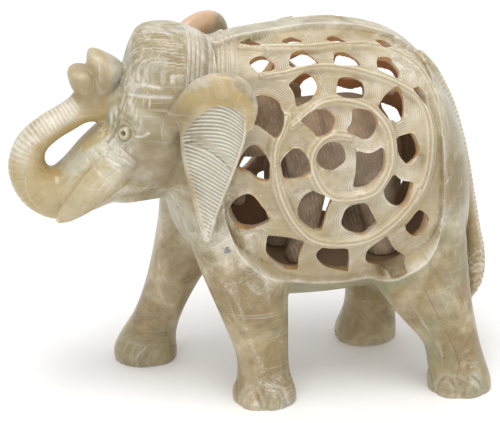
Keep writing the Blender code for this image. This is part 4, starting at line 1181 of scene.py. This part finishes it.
def makePaleStone(cloudyStone, toolScratches):
    c = stoneSettings
    material = bpy.data.materials.new("pale_soapstone")
    material.use_nodes = True
    w = Wiring(material.node_tree)
    shader = material.node_tree.nodes["Principled BSDF"]
    place = w.node("ShaderNodeTexCoord").outputs["Object"]
    where = w.node("ShaderNodeSeparateXYZ")
    w.join(place, where.inputs[0])
    height = where.outputs["Z"]
    body = w.place(cloudyStone, Place=place, Light=c["light"], Dark=c["dark"], Green=c["green"])
    lower = w.place(cloudyStone, Place=place, Light=c["legLight"], Dark=c["legs"], Green=c["legGreen"],
                    Patches=0.55, Chalk=0.2)
    wobble = w.times(w.math("SUBTRACT", body.outputs["Mottle"], 0.5), 0.03)
    onLegs = w.range(w.math("ADD", height, wobble), *c["legsBelow"])
    color = w.mix(onLegs, body.outputs["Color"], lower.outputs["Color"])
    panel = w.mix(0.25, c["panel"], body.outputs["Color"])
    color = w.mix(w.times(w.attribute("panel"), 0.7), color, panel)
    color = w.mix(w.times(w.attribute("stem"), 0.5), color, c["stem"])
    amber = w.times(w.attribute("amber"), w.range(body.outputs["Cloud"], 0.35, 0.62, 0.65, 1.0))
    color = w.mix(amber, color, c["amber"])
    farEar = 1.0
    for axis, limits in c["farEar"].items():
        farEar = w.times(farEar, w.range(where.outputs[axis], *limits))
    color = w.mix(w.times(farEar, 0.75), color, c["pink"])
    color = w.mix(w.times(w.attribute("belly"), 0.7), color, c["belly"])
    color = w.mix(w.times(w.attribute("ribs"), 0.7), color, c["ribs"])
    umber = w.times(w.attribute("umber"), w.range(body.outputs["Mottle"], 0.25, 0.6, 1.0, 0.6))
    color = w.mix(umber, color, c["umber"])
    chalky = w.range(w.noise(place, 150.0, 6.0, 0.8, 2.0), 0.50, 0.66)
    color = w.mix(w.times(chalky, w.attribute("chalk")), color, c["pale"])
    # painted glow: the walls of the openings are tinted amber for light shining through the thin stone
    color = w.mix(w.times(w.attribute("wall"), 0.8), color, c["wall"])
    # painted glow and shade: the hollow's lining runs from the inside colour low down, partly painted shade,
    # to the bright amber ceiling colour up under the roof, painted glow of light through the thin stone
    inside = w.mix(w.range(height, 0.058, 0.078), c["inside"], c["ceilingGlow"])
    color = w.mix(w.times(w.attribute("hollow"), 0.9), color, inside)
    bend = w.attribute("bend")
    offRibs = w.range(w.attribute("ribs"), 0.0, 1.0, 1.0, 0.4)
    # painted shade: the stone is darkened in the grooves and hollows of the mesh, where shade falls, less so
    # on the ear's ribs
    creaseShade = w.times(w.range(bend, 0.1, 0.8, 0.0, 0.65), offRibs)
    color = w.mix(creaseShade, color, c["paintedShade"])
    # painted highlight: the ridges of the mesh are painted paler
    color = w.mix(w.range(bend, -0.12, -0.7, 0.0, 0.4), color, c["pale"])
    # painted shade: the grooves along the stems are darkened
    color = w.mix(w.times(w.attribute("groove"), 0.5), color, c["paintedShade"])
    scratches = w.place(toolScratches, Place=place, Amount=0.6)
    wave = w.node("ShaderNodeMath", operation="SINE")
    hatchTurn = 2 * math.pi / panelSettings["hatchPitch"]
    w.join(w.times(w.attribute("hatchRun"), hatchTurn), wave.inputs[0])
    broken = w.range(w.noise(place, 260.0, 3.0), 0.36, 0.56, 0.25, 1.0)
    hatch = w.times(w.range(wave.outputs[0], 0.0, 0.9), w.times(w.attribute("hatch"), broken))
    pale = w.math("MAXIMUM", w.attribute("pale"), w.times(hatch, 0.75))
    pale = w.math("MAXIMUM", w.times(pale, w.range(body.outputs["Fine"], 0.25, 0.6, 0.45, 1.0)),
                  w.times(scratches.outputs["Mask"], 0.5))
    drag = w.node("ShaderNodeMapping")
    w.join(place, drag.inputs["Vector"])
    drag.inputs["Rotation"].default_value = (0.0, 0.25, 0.0)
    drag.inputs["Scale"].default_value = (1100, 1100, 90)
    streak = w.range(w.noise(drag.outputs[0], 1.0, 3.0, 0.6), 0.48, 0.66)
    pale = w.math("MAXIMUM", pale, w.times(streak, w.times(w.attribute("streak"), 0.6)))
    color = w.mix(w.times(pale, 0.8), color, c["pale"])
    color = w.mix(w.times(w.attribute("brown"), 0.85), color, c["brown"])
    w.join(color, shader.inputs["Base Color"])
    polish = w.range(body.outputs["Mottle"], 0.3, 0.7, 0.26, 0.40)
    rough = w.math("ADD", polish, w.times(pale, 0.3))
    rough = w.math("ADD", rough, w.times(w.attribute("hollow"), 0.3), clamp=True)
    w.join(rough, shader.inputs["Roughness"])
    relief = w.math("ADD", hatch, w.times(scratches.outputs["Height"], 0.35))
    relief = w.math("ADD", relief, w.times(body.outputs["Fine"], 0.25))
    bump = w.node("ShaderNodeBump")
    bump.inputs["Strength"].default_value = c["bump"]
    bump.inputs["Distance"].default_value = c["bumpDepth"]
    w.join(relief, bump.inputs["Height"])
    w.join(bump.outputs[0], shader.inputs["Normal"])
    shader.inputs["Subsurface Weight"].default_value = c["glow"]
    shader.inputs["Subsurface Radius"].default_value = c["glowColors"]
    shader.inputs["Subsurface Scale"].default_value = c["glowDepth"]
    shader.inputs["IOR"].default_value = 1.54
    return material


rawSettings = {
    "light": (0.55, 0.42, 0.29, 1), "dark": (0.34, 0.25, 0.165, 1), "green": (0.36, 0.36, 0.30, 1),
    "scraped": (0.72, 0.64, 0.50, 1), "rows": 330.0, "bump": 0.6, "bumpDepth": 0.00015,
}


def makeRawStone(cloudyStone, toolScratches):
    c = rawSettings
    material = bpy.data.materials.new("raw_soapstone")
    material.use_nodes = True
    w = Wiring(material.node_tree)
    shader = material.node_tree.nodes["Principled BSDF"]
    place = w.node("ShaderNodeTexCoord").outputs["Object"]
    body = w.place(cloudyStone, Place=place, Light=c["light"], Dark=c["dark"], Green=c["green"], Chalk=0.15,
                   Specks=0.3)
    rows = w.node("ShaderNodeTexWave", wave_type="BANDS", bands_direction="X")
    turn = w.node("ShaderNodeMapping")
    w.join(place, turn.inputs["Vector"])
    turn.inputs["Rotation"].default_value = (0.0, 0.25, 0.1)
    w.join(turn.outputs[0], rows.inputs["Vector"])
    rows.inputs["Scale"].default_value = c["rows"]
    rows.inputs["Distortion"].default_value = 6.0
    rows.inputs["Detail"].default_value = 2.0
    rows.inputs["Detail Scale"].default_value = 0.6
    broken = w.range(w.noise(place, 420.0, 3.0), 0.44, 0.6)
    lines = w.times(w.range(rows.outputs["Fac"], 0.72, 0.95), broken)
    scratches = w.place(toolScratches, Place=place, Amount=0.5)
    pale = w.math("MAXIMUM", lines, scratches.outputs["Mask"])
    color = w.mix(w.times(pale, 0.7), body.outputs["Color"], c["scraped"])
    w.join(color, shader.inputs["Base Color"])
    w.join(w.range(body.outputs["Mottle"], 0.3, 0.7, 0.6, 0.8), shader.inputs["Roughness"])
    bump = w.node("ShaderNodeBump")
    bump.inputs["Strength"].default_value = c["bump"]
    bump.inputs["Distance"].default_value = c["bumpDepth"]
    w.join(w.math("ADD", w.times(pale, -0.8), w.times(body.outputs["Fine"], 0.4)),
           bump.inputs["Height"])
    w.join(bump.outputs[0], shader.inputs["Normal"])
    return material


studioSettings = {
    "floorColor": (0.94, 0.94, 0.945, 1), "worldColor": (1.0, 0.995, 0.99, 1), "worldStrength": 0.84,
    "key": {"at": (-0.12, -0.30, 1.05), "size": 0.6, "power": 6.0, "color": (1.0, 0.99, 0.97)},
    "fill": {"at": (-0.45, -0.85, 0.45), "size": 0.6, "power": 1.2, "color": (1.0, 0.99, 0.97)},
    "azimuth": -14.0, "elevation": 23.0, "distance": 0.8, "aim": (0.0, 0.0, 0.048), "lens": 221.76,
}


def softLight(name, at, size, power, color):
    deselectAll()
    bpy.ops.object.light_add(type="AREA", location=at)
    lamp = bpy.context.active_object
    lamp.name = name
    lamp.data.shape = "DISK"
    lamp.data.size = size
    lamp.data.energy = power
    lamp.data.color = color
    lamp.rotation_euler = (Vector((0, 0, 0.04)) - Vector(at)).to_track_quat("-Z", "Y").to_euler()


def makeStudio():
    s = studioSettings
    deselectAll()
    bpy.ops.mesh.primitive_plane_add(size=6, location=(0, 0, 0))
    floor = bpy.context.active_object
    floor.name = "floor"
    paper = bpy.data.materials.new("floor_paper")
    paper.use_nodes = True
    paper.node_tree.nodes["Principled BSDF"].inputs["Base Color"].default_value = s["floorColor"]
    paper.node_tree.nodes["Principled BSDF"].inputs["Roughness"].default_value = 0.6
    floor.data.materials.append(paper)
    world = bpy.data.worlds.new("studio")
    bpy.context.scene.world = world
    world.use_nodes = True
    world.node_tree.nodes["Background"].inputs["Color"].default_value = s["worldColor"]
    world.node_tree.nodes["Background"].inputs["Strength"].default_value = s["worldStrength"]
    softLight("keyLight", **s["key"])
    softLight("fillLight", **s["fill"])
    a, e = math.radians(s["azimuth"]), math.radians(s["elevation"])
    back = Vector((math.sin(a) * math.cos(e), -math.cos(a) * math.cos(e), math.sin(e)))
    bpy.ops.object.camera_add(location=Vector(s["aim"]) + Vector(shiftToFrame) * mm + back * s["distance"])
    camera = bpy.context.active_object
    camera.rotation_euler = (-back).to_track_quat("-Z", "Y").to_euler()
    camera.data.lens = s["lens"]
    camera.data.sensor_width = 36
    camera.data.clip_start = 0.01
    bpy.context.scene.camera = camera
    bpy.context.scene.view_settings.view_transform = "Standard"


cloudyStone, toolScratches = makeStoneGroup(), makeScratchGroup()
elephant = makeElephant()
calf = makeCalf()
paleStone, rawStone = makePaleStone(cloudyStone, toolScratches), makeRawStone(cloudyStone, toolScratches)
print("stone ready")
for piece, material in ((elephant, paleStone), (calf, rawStone)):
    piece.data.materials.clear()
    piece.data.materials.append(material)
    selectOnly(piece)
    bpy.ops.object.shade_smooth_by_angle(angle=math.radians(50))
    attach(piece, "root")
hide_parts("elephant")
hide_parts("inner_elephant")
makeStudio()
print("studio ready")
